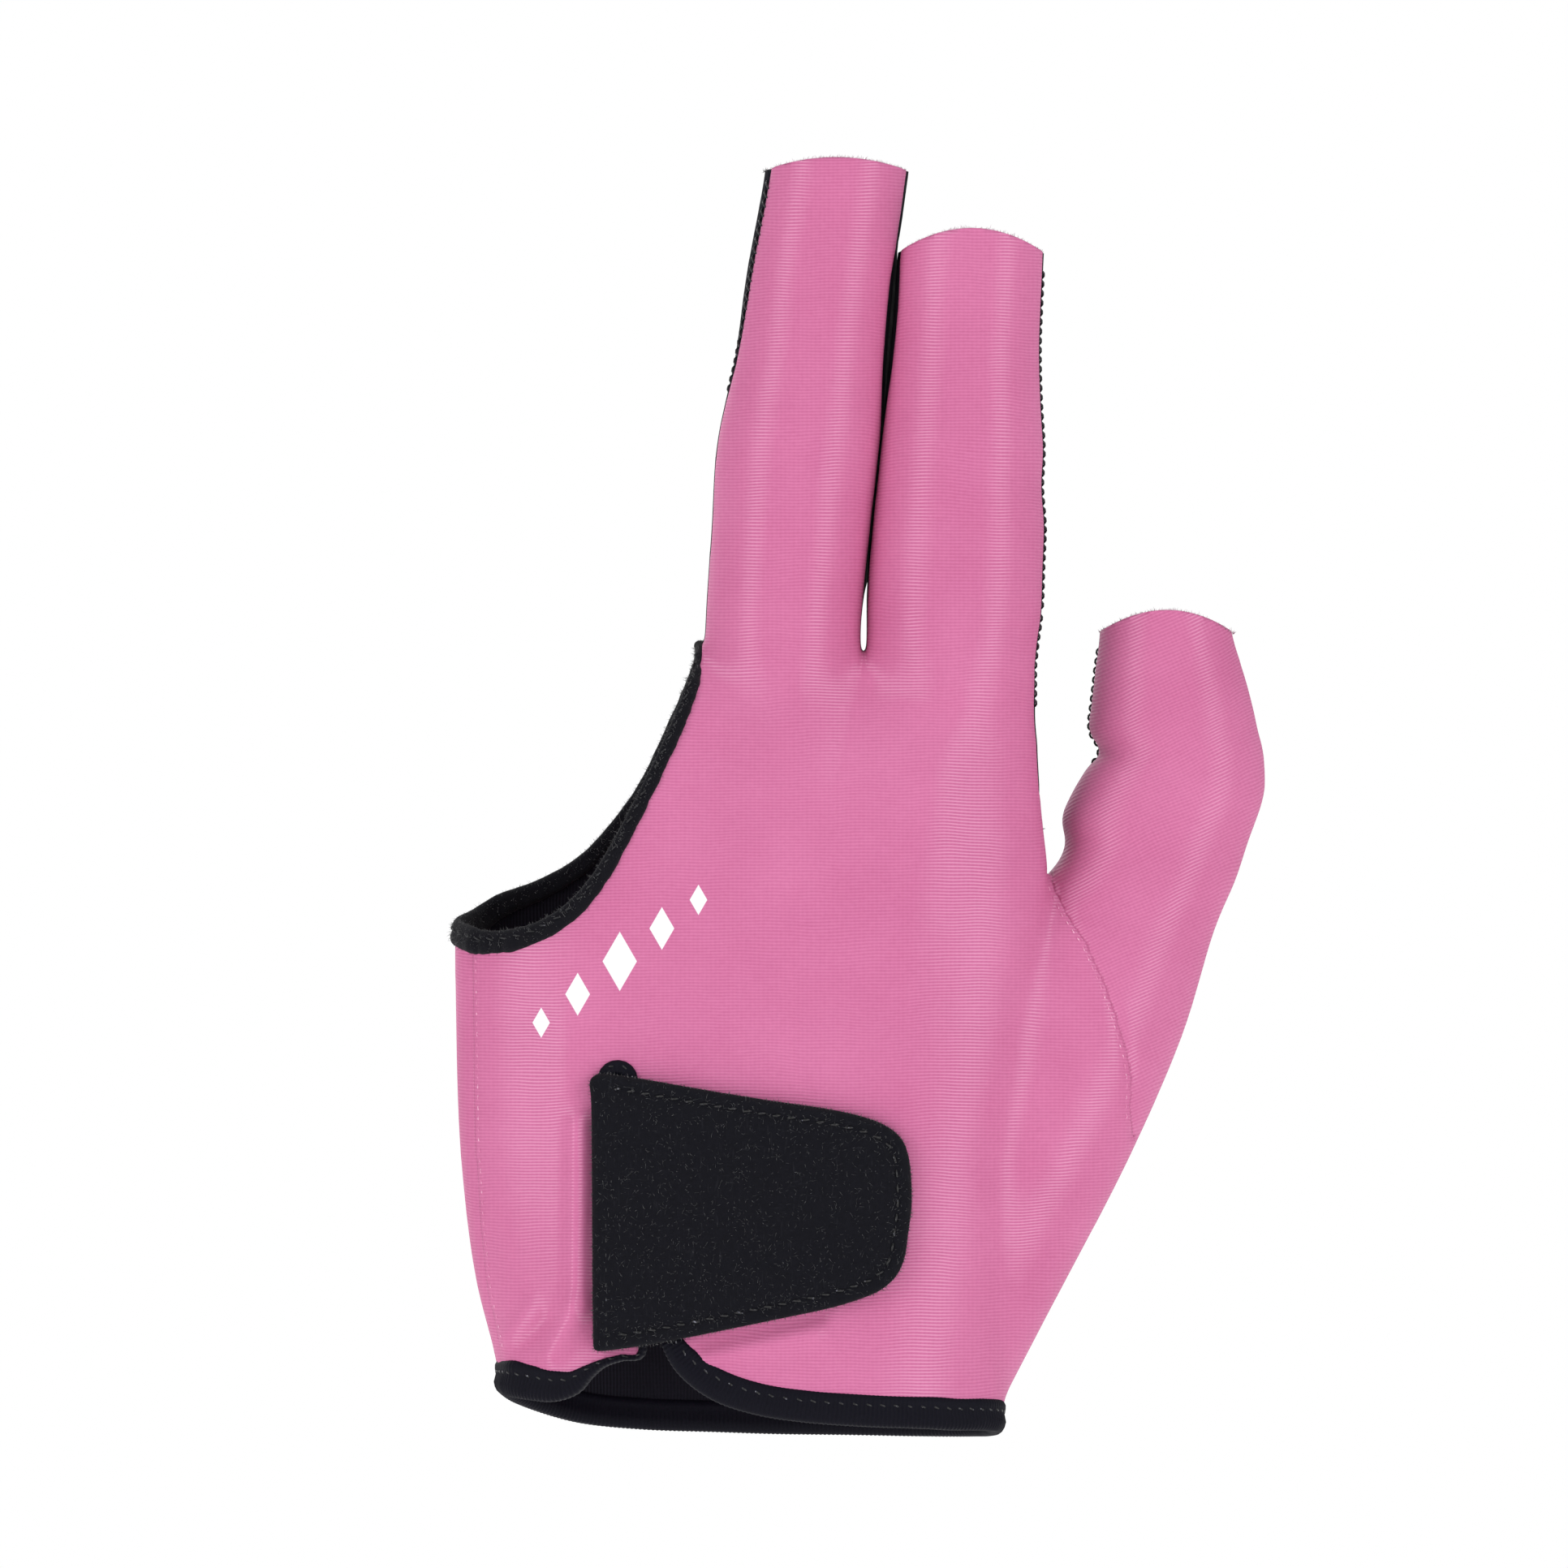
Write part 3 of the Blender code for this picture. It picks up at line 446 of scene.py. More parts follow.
# the same for the side opening: round its outer edge, then over the back and the palm side
OPENING_ROUND = [(190, 74.4, 3.8), (180, 73.0, 3.8), (172, 72.0, 3.8)]
OPENING_BACK = [
    (-38.4, 71.5, 3.6), (-34.3, 71.8, 3.3), (-29.6, 73.4, 2.9), (-25.2, 76.4, 2.7), (-21.4, 81.0, 2.4),
    (-18.3, 86.4, 2.2), (-15.4, 92.0, 2.1), (-12.6, 97.8, 2.0), (-10.3, 103.0, 2.0), (-8.4, 108.2, 2.0),
]
OPENING_FRONT = [
    (-9.0, 107.4, 2.0), (-12.0, 100.6, 2.0), (-15.3, 93.8, 2.1), (-19.6, 87.6, 2.2), (-24.6, 82.5, 2.4),
    (-30.5, 79.0, 2.8), (-36.0, 76.8, 3.3),
]
# mm: its turn at the middle finger's root, as places, widths and directions outwards
OPENING_TURN = [
    (-7.0, -3.2, 112.2, 2.2, -0.9, -0.4, 0.1), (-7.1, 0.4, 113.4, 2.4, -1, 0, 0.1),
    (-7.0, 3.6, 112.0, 2.2, -0.9, 0.4, 0.1),
]


def resampled(rows, step):
    """A closed smooth curve through rows of numbers, at even steps of its first three."""
    rows = np.array(rows, float)
    before, after, later = (np.roll(rows, shift, axis=0) for shift in (1, -1, -2))
    curve = []
    for share in np.linspace(0, 1, 24, endpoint=False):
        square, cube = share ** 2, share ** 3
        curve.append(
            (2 * cube - 3 * square + 1) * rows + (cube - 2 * square + share) * (after - before) / 2
            + (3 * square - 2 * cube) * after + (cube - square) * (later - rows) / 2
        )
    curve = np.stack(curve, axis=1).reshape(-1, rows.shape[1])
    closed = np.vstack([curve, curve[:1]])
    run = np.concatenate([[0], np.cumsum(np.linalg.norm(np.diff(closed[:, :3], axis=0), axis=1))])
    count = int(round(run[-1] / step))
    places = np.linspace(0, run[-1], count, endpoint=False)
    even = np.stack([np.interp(places, run, closed[:, column]) for column in range(closed.shape[1])], axis=1)
    return even, places, run[-1]


def stations(find, rows, sink=KNIT_WALL / 2):
    """Rows of a tape's path: its middle sunk into the skin, its width and its outward direction."""
    made = []
    for here, up, width in rows:
        place, normal = find(here, up)
        made.append((*(place - normal * sink), width, *normal))
    return made


slit_along = Vector((SLIT_TOP[0] - SLIT_FOOT[0], SLIT_TOP[1] - SLIT_FOOT[1])).normalized()
slit_beside = Vector((-slit_along.y, slit_along.x))
slit_left = []
for share in (0.0, 0.3, 0.6, 0.85, 0.95):
    slit_left.append(Vector(SLIT_FOOT).lerp(Vector(SLIT_TOP), share) + slit_beside * SLIT_HALF)
slit_right = [spot - slit_beside * 2 * SLIT_HALF for spot in slit_left[::-1]]
slit_end = []
for turn in range(0, 181, 30):
    aside = slit_beside * SLIT_HALF * math.cos(math.radians(turn))
    slit_end.append(Vector(SLIT_TOP) + aside + slit_along * SLIT_HALF * math.sin(math.radians(turn)))
slit_rows = [(*spot, SLIT_TAPE) for spot in slit_left + slit_end + slit_right]
wrist_path, wrist_run, wrist_length = resampled(
    stations(on_back, WRIST_LEFT) + stations(on_back, slit_rows, SLIT_SINK)
    + stations(on_back, WRIST_RIGHT) + stations(on_turn, WRIST_ROUND), 0.15,
)
opening_path = resampled(
    stations(on_turn, OPENING_ROUND) + stations(on_back, OPENING_BACK) + OPENING_TURN
    + stations(on_front, OPENING_FRONT), 0.3,
)[0]


# Cutting the panels
# Each seam is a level line of a field over the skin, so that neighbouring panels
# end on the same line and are drawn in along it, as sewn knit is.
SET_IN = [
    (36, 55.5), (42.6, 55.0), (47.6, 54.2), (51.6, 54.4), (55.2, 53.8), (60.5, 52.2), (65.3, 50.5),
    (71.3, 47.8), (75.6, 44.9), (79.2, 43.3), (82.1, 42.8), (90, 42.8), (130, 42.8),
]
SET_IN_FOOT = 42.6
SIDE_SEAM = [
    (0, -34.6), (14.7, -36.2), (22.0, -37.8), (32.1, -38.8), (43.7, -39.5), (70.1, -39.9), (90, -39.9),
]
SIDE_PALM, SIDE_SLOPE = 8.0, 3
# mm: heights, and how deep the seam between back and palm lies along the thumb at them
THUMB_SEAM = ((8, 26, 46, 64, 78, 87, 98, 120), (3.6, 5.2, 6.2, 7.2, 8.4, 9.3, 10.2, 10.2))
SEAM_DEEP = -0.7
SEAM_ROUND = 5.0
# mm: middle, half width, level of the sides, arch, top and depth of each tip: middle, index, thumb
TIPS = [
    (12.0, 10.2, 181.7, 1.7, 182, 0), (31.3, 10.6, 169.9, 3.4, 171, 0), (59.4, 9.6, 115.9, 3.1, 117, 10),
]
THUMB_FROM = 44
HEM_BELOW, HEM_SHARE = 15.3, 0.24
OPENING_EDGE = -7.05
FAR = 9.0
CUT_SHARES = (0.03, 0.97)


def seam_level(x, z):
    """How deep the seam between back and palm lies."""
    thumb = np.interp(z, *THUMB_SEAM)
    from_x = 30 + 10.8 * step_up(z, 60, 78) + 1.6 * step_up(z, 92, 97)
    level = SEAM_DEEP + (thumb - SEAM_DEEP) * step_up(x, from_x, from_x + 2)
    outer = step_up(x, 50, 56) * step_up(z, 30, 60) + step_up(x, 34, 38) * (1 - step_up(z, 30, 60))
    level = level + SEAM_ROUND * outer
    level = level - 2.4 * step_up(z, 146, 166) * (x < 8)
    # it comes forward between the two fingers
    slot = on_rows(SLOT, z)[:, 0]
    forward = 0.2 + 1.6 * step_up(z, 143, 156) * (1 - 0.7 * step_up(z, 165, 171))
    return level - forward * near(x, slot, 3) * step_up(z, 110, 118)


def back_side(points):
    """Above 0 on the back of the seam between back and palm."""
    x, y, z = points.T
    return seam_level(x, z) - y


def side_strip(points):
    """Above 0 on the strip round the outer edge."""
    x, y, z = points.T
    seam = np.interp(z, *np.array(SIDE_SEAM).T)
    return np.minimum(seam + SIDE_SLOPE * np.maximum(y, 0) - x, SIDE_PALM - y)


def thumb_side(points):
    """Above 0 beyond the seam that sets the thumb in."""
    x, y, z = points.T
    return np.minimum(x - np.interp(z, *np.array(SET_IN).T), (z - SET_IN_FOOT) * 0.8)


def below_tips(points):
    """Above 0 below the cut of a tip, which arches up to its middle."""
    x, y, z = points.T
    middle, index, thumb = (
        sides + arch * (1 - ((x - centre) / half) ** 2) for centre, half, sides, arch, top, deep in TIPS
    )
    slot = on_rows(SLOT, z)[:, 0] + palm_lean(points)
    return np.where(x > THUMB_FROM, thumb, np.where(x < slot, middle, index)) - z


turns = np.degrees(np.arctan2(-wrist_path[:, 1], wrist_path[:, 0]))
hem = wrist_path[:, 2] < HEM_BELOW
hem_order = np.argsort(turns[hem])
# the knit ends under the upper part of the tape
hem_turns = turns[hem][hem_order]
hem_levels = (wrist_path[:, 2] + wrist_path[:, 3] * HEM_SHARE)[hem][hem_order]
over_back = opening_path[:, 1] < 0
back_edge = opening_path[over_back][:, [0, 2]]
front_edge = opening_path[~over_back][:, [0, 2]]
back_edge, front_edge = back_edge[back_edge[:, 0].argsort()], front_edge[front_edge[:, 0].argsort()]


def above_hem(points):
    """Above 0 above the wrist's hem."""
    x, y, z = points.T
    return z - np.interp(np.degrees(np.arctan2(-y, x)), hem_turns, hem_levels, period=360)


def inside_opening(points):
    """Above 0 on the knit's side of the side opening."""
    x, y, z = points.T
    share = np.clip(0.5 - y / 8, 0, 1)
    edge = share * np.interp(x, *back_edge.T) + (1 - share) * np.interp(x, *front_edge.T)
    return np.maximum(x - OPENING_EDGE, (edge - z) * 0.7)


def beside_slit(points):
    """Above 0 outside the slit."""
    close = line_near(points, SLIT_FOOT, SLIT_TOP, SLIT_HALF)[0]
    gap = SLIT_HALF * np.sqrt(-np.log(np.maximum(close, 1e-12)))
    return np.where(points[:, 1] < 0, gap - SLIT_HALF, FAR)


def trimmed(points, faces, field):
    """The part of a mesh where a field is above 0, cut cleanly through its faces."""
    values = field(points)
    inside = values > 0
    made, kept, extra = {}, [], []
    for face in faces:
        held = [inside[corner] for corner in face]
        if all(held):
            kept.append(face)
        elif any(held):
            outline = []
            for here, there in zip(face, face[1:] + face[:1]):
                if inside[here]:
                    outline.append(here)
                if inside[here] != inside[there]:
                    pair = (min(here, there), max(here, there))
                    if pair not in made:
                        share = values[pair[0]] / (values[pair[0]] - values[pair[1]])
                        share = min(max(share, CUT_SHARES[0]), CUT_SHARES[1])
                        extra.append(points[pair[0]] * (1 - share) + points[pair[1]] * share)
                        made[pair] = len(points) + len(extra) - 1
                    outline.append(made[pair])
            kept.append(tuple(outline))
    whole = np.vstack([points, extra]) if extra else points
    used = np.unique([corner for face in kept for corner in face])
    place = np.full(len(whole), -1)
    place[used] = np.arange(len(used))
    return whole[used], [tuple(place[list(face)]) for face in kept]


def normals_near(points):
    """The skin's outward directions at points on it."""
    return np.array([skin_tree.find_nearest(Vector(point))[1] for point in points])


def seam_sink(points):
    """How deep the knit is drawn in along a seam."""
    x, y, z = points.T
    side = np.where(y < 4, np.abs(side_strip(points)), FAR)
    thumb = np.where((z > SET_IN_FOOT + 1) & (z < 82) & (y < 4), np.abs(thumb_side(points)), FAR)
    around = np.abs(back_side(points))
    return 0.22 * near(side, 0, 0.7) + 0.3 * near(thumb, 0, 0.8) + 0.25 * near(around, 0, 0.8)


def knit_panel(name, node, fields, cloth, lining):
    """A panel of the skin inside fields, with the knit's thickness."""
    points, faces = skin, skin_faces
    for field in fields + [below_tips, above_hem, inside_opening]:
        points, faces = trimmed(points, faces, field)
    points = points - normals_near(points) * seam_sink(points)[:, None]
    made = mesh_object(name, points, faces)
    made.data.materials.append(cloth)
    made.data.materials.append(lining)
    bpy.context.view_layer.objects.active = made
    wall = made.modifiers.new("wall", "SOLIDIFY")
    wall.thickness = KNIT_WALL * MM
    wall.offset = -1
    wall.use_even_offset = False
    wall.material_offset = 1
    wall.material_offset_rim = 1
    bpy.ops.object.modifier_apply(modifier="wall")
    made.data.shade_smooth()
    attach(made, "root")
    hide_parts(node)
    return made


# Pink warp knit
# Polyester and elastane warp knit with a satin face: fine ribs across the glove, painted paler as a
# highlight in soft bands where the side lights would catch them, and the ground between them painted darker
# as shade.
RIB_PITCH = 0.46
# how far aside the knit's normal turns where the painted rib highlight is strongest
HIGHLIGHT_TURN = 0.36
WALE_PITCH = 0.62
SIGHTS_AT = (-18.7, 68.9)
SIGHTS_TILT = 38.0
SIGHT_SHAPE = 0.58
# mm: place along the row of white diamonds, and half the height of each
SIGHTS = [(-14.2, 2.2), (-7.6, 3.1), (0.0, 4.3), (7.6, 3.1), (14.2, 2.2)]


def calc(material, operation, first, second=None, third=None):
    """The result of a Math node. Its inputs are outputs or numbers."""
    given = dict(enumerate(value for value in (first, second, third) if value is not None))
    links = {key: value for key, value in given.items() if not isinstance(value, (int, float))}
    values = {key: value for key, value in given.items() if isinstance(value, (int, float))}
    return add_node(material, "Math", {"operation": operation}, links, values).outputs[0]


def mixed(material, share, low, high):
    """Two colours, or a colour output and a colour, mixed by a share."""
    made = add_node(material, "Mix", {"data_type": "RGBA"}, {0: share})
    for place, colour in ((6, low), (7, high)):
        if isinstance(colour, str):
            made.inputs[place].default_value = from_hex(colour)
        else:
            material.node_tree.links.new(colour, made.inputs[place])
    return made.outputs[2]


def in_mm(material, turn=0.0, shift=(0, 0, 0), stretch=(1, 1, 1)):
    """Object coordinates in mm, turned by degrees about the line of sight."""
    place = add_node(material, "TexCoord").outputs["Object"]
    scale = [1000 * value for value in stretch]
    settings = {"Rotation": (0, math.radians(turn), 0), "Scale": scale, "Location": shift}
    return add_node(material, "Mapping", {}, {"Vector": place}, settings).outputs["Vector"]


def noise(material, place, scale, detail=2.0, rough=0.5):
    """The grey of a Noise texture."""
    values = {"Scale": scale, "Detail": detail, "Roughness": rough}
    return add_node(material, "TexNoise", {}, {"Vector": place}, values).outputs["Fac"]


def mapped(material, value, low, high, top=1.0, kind="LINEAR"):
    """How far a value is from low to high, times top."""
    values = {"From Min": low, "From Max": high, "To Max": top}
    made = add_node(material, "MapRange", {"interpolation_type": kind}, {"Value": value}, values)
    return made.outputs["Result"]


def bumped(material, shader, height, strength, distance):
    """A relief in the shading, with its distance in mm."""
    values = {"Strength": strength, "Distance": distance * MM}
    bump = add_node(material, "Bump", {}, {"Height": height}, values)
    material.node_tree.links.new(bump.outputs["Normal"], shader.inputs["Normal"])


def coloured(material, shader, colour):
    """A colour output as the shader's colour."""
    material.node_tree.links.new(colour, shader.inputs["Base Color"])


def knit(name, tilt, ground, face, pale, rib_highlight_share, values, sights=False):
    """Warp knit with ribs at a tilt across the glove, in degrees, with painted shade in the rib valleys and
    a painted highlight on the ribs in bands.
    """
    made, shader = new_material(name, face, values)
    turned = in_mm(made, tilt)
    axes = add_node(made, "SeparateXYZ", {}, {"Vector": turned}).outputs
    wander = noise(made, turned, 0.05)
    across = calc(made, "MULTIPLY_ADD", wander, 2.4, axes["Z"])
    rib = calc(made, "SINE", calc(made, "MULTIPLY", across, 2 * math.pi / RIB_PITCH))
    wale = calc(made, "SINE", calc(made, "MULTIPLY", axes["X"], 2 * math.pi / WALE_PITCH))
    loops = calc(made, "MULTIPLY_ADD", wale, 0.25, rib)
    grain = noise(made, turned, 1.6, 3.0, 0.65)
    height = calc(made, "MULTIPLY_ADD", loops, 0.5, grain)
    bumped(made, shader, height, 0.45, 0.12)
    worn = noise(made, turned, 0.06, 4.0)
    # painted shade: the rib valleys and the low spots of the grain are painted darker, towards the ground
    # colour; the large noise adds random tone
    rib_valley_shade = calc(made, "MULTIPLY_ADD", height, 0.55, 0.2)
    tone_and_shade = calc(made, "MULTIPLY_ADD", calc(made, "SUBTRACT", worn, 0.5), 0.9, rib_valley_shade)
    colour = mixed(made, tone_and_shade, ground, face)
    # painted highlight: the ribs are painted paler in bands where the knit turns partly away to either side,
    # as if the side lights caught them there
    facing = add_node(made, "TexCoord").outputs["Normal"]
    aside = add_node(made, "SeparateXYZ", {}, {"Vector": facing}).outputs["X"]
    beside = calc(made, "ABSOLUTE", calc(made, "SUBTRACT", calc(made, "ABSOLUTE", aside), HIGHLIGHT_TURN))
    highlight_band = mapped(made, beside, 0.2, 0.0, kind="SMOOTHSTEP")
    rib_highlight = mapped(made, rib, -0.2, 1.0, rib_highlight_share)
    colour = mixed(made, calc(made, "MULTIPLY", rib_highlight, highlight_band), colour, pale)
    if sights:
        # white transfer print: a row of diamonds, as the sights on a table's rail
        centred = in_mm(made, 0, (-SIGHTS_AT[0], 0, -SIGHTS_AT[1]))
        flat = add_node(made, "SeparateXYZ", {}, {"Vector": centred}).outputs
        least = None
        tilted = math.radians(SIGHTS_TILT)
        for along, half in SIGHTS:
            across, up = along * math.cos(tilted), along * math.sin(tilted)
            aside = calc(made, "ABSOLUTE", calc(made, "SUBTRACT", flat["X"], across))
            above = calc(made, "ABSOLUTE", calc(made, "SUBTRACT", flat["Z"], up))
            wide = calc(made, "MULTIPLY", aside, 1 / (half * SIGHT_SHAPE))
            reach = calc(made, "MULTIPLY_ADD", above, 1 / half, wide)
            least = reach if least is None else calc(made, "MINIMUM", least, reach)
        colour = mixed(made, mapped(made, least, 1.0, 0.96), colour, "#ECE9EC")
    coloured(made, shader, colour)
    return made


satin = {"Roughness": 0.6, "Sheen Weight": 0.02, "Sheen Roughness": 0.4, "Specular IOR Level": 0.16}
# pinks: the ground, the darker end of the random tone and of the painted shade in the rib valleys; the face;
# and the painted highlight on the ribs
pinks = ("#BB608B", "#CF78A2", "#E7AECB")
back_knit = knit("satin_warp_knit_back", 0, *pinks, 0.38, satin, sights=True)
side_knit = knit("satin_warp_knit_side", 0, *pinks, 0.38, satin)
thumb_knit = knit("satin_warp_knit_thumb", 24, *pinks, 0.3, satin)
matt = {"Roughness": 0.85, "Sheen Weight": 0.01, "Sheen Roughness": 0.5, "Specular IOR Level": 0.08}
# the black knit has the same painted shade and painted highlight, in greys
palm_knit = knit("matt_stretch_knit", 90, "#100F15", "#1B1A22", "#2A2933", 0.4, matt)


def beyond(field):
    """A field's other side."""
    return lambda points: -field(points)


def outer_half(points):
    """Above 0 well to the left, where the side strip lies."""
    return -20 - points[:, 0]


back_fields = [back_side, beyond(side_strip), beyond(thumb_side), beside_slit]
back_panel = knit_panel("back_panel_knit", "back_panel", back_fields, back_knit, side_knit)
thumb_fields = [back_side, thumb_side]
thumb_panel = knit_panel("thumb_panel_knit", "thumb_panel", thumb_fields, thumb_knit, thumb_knit)
side_fields = [side_strip, outer_half]
side_panel = knit_panel("side_panel_knit", "side_panel", side_fields, side_knit, side_knit)
palm_fields = [beyond(back_side), beyond(side_strip)]
palm_panel = knit_panel("palm_panel_knit", "palm_panel", palm_fields, palm_knit, palm_knit)

# Thread and fibre
# Black bonded polyester thread in short glossy stitches, with pale glints painted into its colour as
# highlights,
# and the loose fibres that stand out of felt, plush and raw knit edges.
random = np.random.default_rng(12)


def spun_thread(name, dark, pale, share):
    """Twisted thread: dark, with painted highlights as pale glints on the given share of it."""
    made, shader = new_material(name, dark, {"Roughness": 0.38, "Specular IOR Level": 0.5})
    # painted highlight: pale glints painted into the thread's colour where the noise runs high
    glint = mapped(made, noise(made, in_mm(made), 2.6), 0.66 - share, 0.72 - share)
    coloured(made, shader, mixed(made, glint, dark, pale))
    return made


def fibre(name, colour):
    """Loose fibre: thin, matt and lit through."""
    made, shader = new_material(name, colour, {"Roughness": 0.8, "Sheen Weight": 0.4})
    coloured(made, shader, mixed(made, noise(made, in_mm(made), 3.0), "#000000", colour))
    return made


# each thread's second colour is its painted highlight
black_thread = spun_thread("bonded_thread_black", "#0B0B10", "#4A4A55", 0.0)
glinting_thread = spun_thread("bonded_thread_glinting", "#07070A", "#6E6E7A", 0.02)
pink_thread = spun_thread("bonded_thread_pink", "#D47BA6", "#E9AFCB", 0.1)

STITCH_RINGS = (-1.0, -0.75, -0.3, 0.3, 0.75, 1.0)
STITCH_SIDES = 6


def stitch_row(name, places, outwards, alongs, length, radius, thread, node=None):
    """Stitches along a seam, each a bent thread that dives into the cloth at its ends."""
    points, faces = [], []
    for place, outward, along in zip(places, outwards, alongs):
        side = np.cross(along, outward)
        first = len(points)
        rings = []
        for share in STITCH_RINGS:
            size = radius * math.sqrt(max(1 - share ** 4, 0.08))
            middle = place + along * share * length / 2 + outward * radius * (0.9 - 2.2 * share * share)
            turn = np.linspace(0, 2 * np.pi, STITCH_SIDES, endpoint=False)
            rings.append(middle + (np.cos(turn)[:, None] * side + np.sin(turn)[:, None] * outward) * size)
        faces += tube_faces(rings, first=first)
        points += [point for ring in rings for point in ring]
        faces.append(tuple(range(first, first + STITCH_SIDES))[::-1])
        faces.append(tuple(range(len(points) - STITCH_SIDES, len(points))))
    return on_glove(mesh_object(name, points, faces), thread, node)


def on_glove(made, finish, node=None):
    """A piece with its finish, on the glove's one body."""
    made.data.materials.append(finish)
    bpy.ops.object.select_all(action="DESELECT")
    made.select_set(True)
    bpy.context.view_layer.objects.active = made
    bpy.ops.object.mode_set(mode="EDIT")
    bpy.ops.mesh.select_all(action="SELECT")
    bpy.ops.mesh.normals_make_consistent(inside=False)
    bpy.ops.object.mode_set(mode="OBJECT")
    made.data.shade_smooth()
    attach(made, "root")
    if node:
        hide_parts(node)
    return made


def fuzz(name, roots, leans, length, radius, finish, slot):
    """Loose fibres: thin bent spikes, closed at the root."""
    points, faces = [], []
    for root, lean in zip(roots, leans):
        lean = lean + random.normal(0, 0.45, 3)
        lean /= np.linalg.norm(lean)
        curl = random.normal(0, 0.35, 3)
        long = length * random.uniform(0.35, 1.0)
        side = np.cross(lean, (0.3, 0.5, 0.8))
        side /= max(np.linalg.norm(side), 1e-6)
        over = np.cross(lean, side)
        first = len(points)
        base = [root + radius * (math.cos(turn) * side + math.sin(turn) * over) for turn in (0, 2.1, 4.2)]
        knee = [corner + (lean + curl * 0.3) * long * 0.5 for corner in base]
        points += base + knee + [root + (lean + curl) * long]
        a, b, c, d, e, f, tip = range(first, first + 7)
        faces += [(a, c, b), (a, b, e, d), (b, c, f, e), (c, a, d, f), (d, e, tip), (e, f, tip), (f, d, tip)]
    return on_glove(mesh_object(name, points, faces), finish)


def unit(rows):
    """Rows of numbers as directions of length 1."""
    return rows / np.linalg.norm(rows, axis=1)[:, None]


def even_places(line, step):
    """Points at even steps along an open line of points, and the directions along it there."""
    line = np.asarray(line, float)
    run = np.concatenate([[0], np.cumsum(np.linalg.norm(np.diff(line, axis=0), axis=1))])
    places = np.arange(step / 2, run[-1], step)
    even = np.stack([np.interp(places, run, line[:, axis]) for axis in range(3)], axis=1)
    ahead = np.stack([np.interp(places + step / 4, run, line[:, axis]) for axis in range(3)], axis=1)
    behind = np.stack([np.interp(places - step / 4, run, line[:, axis]) for axis in range(3)], axis=1)
    along = ahead - behind
    return even, along / np.maximum(np.linalg.norm(along, axis=1), 1e-9)[:, None]


# Overlocked seams round the fingers and the thumb
# The backs and fronts of the fingers are joined by an overlock seam, whose black
# loops show as dashes along the edges of the glove.
LOOP_STEP = 1.35
SEAM_PAST = 5.5
# mm: where each run of loops is met from, towards which side, and its lowest and highest level
SEAM_RUNS = [
    (43.3, -1, 105, 118), (46, -1, 119, 168), (-20, 1, 150, 180.5), (43.6, 1, 97, 114), (90, -1, 14, 114),
]


def edge_seam(from_x, towards, low, high):
    """The seam between back and palm on one edge of the glove, met from outside it."""
    line, outs = [], []
    for z in np.arange(low, high, 0.4):
        level = seam_level(np.array([from_x + towards * SEAM_PAST]), np.array([z]))[0]
        for again in range(3):
            place, normal = skin_tree.ray_cast(Vector((from_x, level, z)), Vector((towards, 0, 0)))[:2]
            if place is None:
                break
            level = seam_level(np.array([place.x]), np.array([z]))[0]
        if place is not None:
            line.append(tuple(place))
            outs.append(tuple(normal))
    return np.array(line), np.array(outs)


loops, loop_outs, loop_alongs = [], [], []
for seam_run in SEAM_RUNS:
    line, outs = edge_seam(*seam_run)
    places, alongs = even_places(line, LOOP_STEP)
    close = [int(np.argmin(np.linalg.norm(line - place, axis=1))) for place in places]
    outwards = outs[close]
    across = np.cross(outwards, alongs)
    loops.append(places)
    loop_outs.append(outwards)
    loop_alongs.append(unit(alongs * 0.75 + across * 0.66))
loops, loop_outs, loop_alongs = (np.vstack(rows) for rows in (loops, loop_outs, loop_alongs))
stitch_row("overlock_loops", loops, loop_outs, loop_alongs, 1.7, 0.17, black_thread)


def pink_seam(name, line, step):
    """Small stitches in the cloth's colour beside a flat seam on the back."""
    places, alongs = even_places([tuple(on_back(x, z)[0]) for x, z in line], step)
    outwards = normals_near(places)
    sunk = places - outwards * 0.16
    stitch_row(name, sunk, outwards, alongs, step * 0.62, 0.1, pink_thread)


side_line = [(np.interp(z, *np.array(SIDE_SEAM).T) + 0.55, z) for z in np.arange(13.5, 69.5, 0.5)]
pink_seam("side_seam_stitches", side_line, 1.5)
set_line = [(np.interp(z, *np.array(SET_IN).T) - 0.7, z) for z in np.arange(46, 80, 0.5)]
pink_seam("thumb_seam_stitches", set_line, 1.5)

# Raw edges at the finger tips
# The knit is cut raw at the three tips, and its yarns fray a little.
FRAY_COUNT = 420
raw_pink, raw_black = [], []
for centre, half, sides, arch, top, deep in TIPS:
    for turn in np.linspace(0, 2 * np.pi, FRAY_COUNT, endpoint=False) + random.uniform(0, 0.02, FRAY_COUNT):
        towards = Vector((math.cos(turn), math.sin(turn), 0))
        start = Vector((centre, deep, top - 3)) + towards * 14
        place, normal = skin_tree.ray_cast(start, -towards)[:2]
        slot = on_rows(SLOT, top)[0, 0]
        if place is None or (place - start).length > 8 or (place.x < slot) != (centre < slot):
            continue
        level = top - 2 + below_tips(np.array([[place.x, place.y, top - 2]]))[0]
        normal = np.array(normal)
        root = np.array([place.x, place.y, level]) - normal * random.uniform(0.1, 0.8)
        raw = raw_pink if back_side(root[None])[0] > 0 else raw_black
        raw.append((root, np.array([0.1, 0, 1.0]) + normal * 0.2))
fuzz("frayed_tips_pink", *zip(*raw_pink), 0.5, 0.035, fibre("frayed_yarn_pink", "#E9B4CE"), "pink_knit")
fuzz("frayed_tips_black", *zip(*raw_black), 0.45, 0.035, fibre("frayed_yarn_black", "#24232D"), "black_knit")

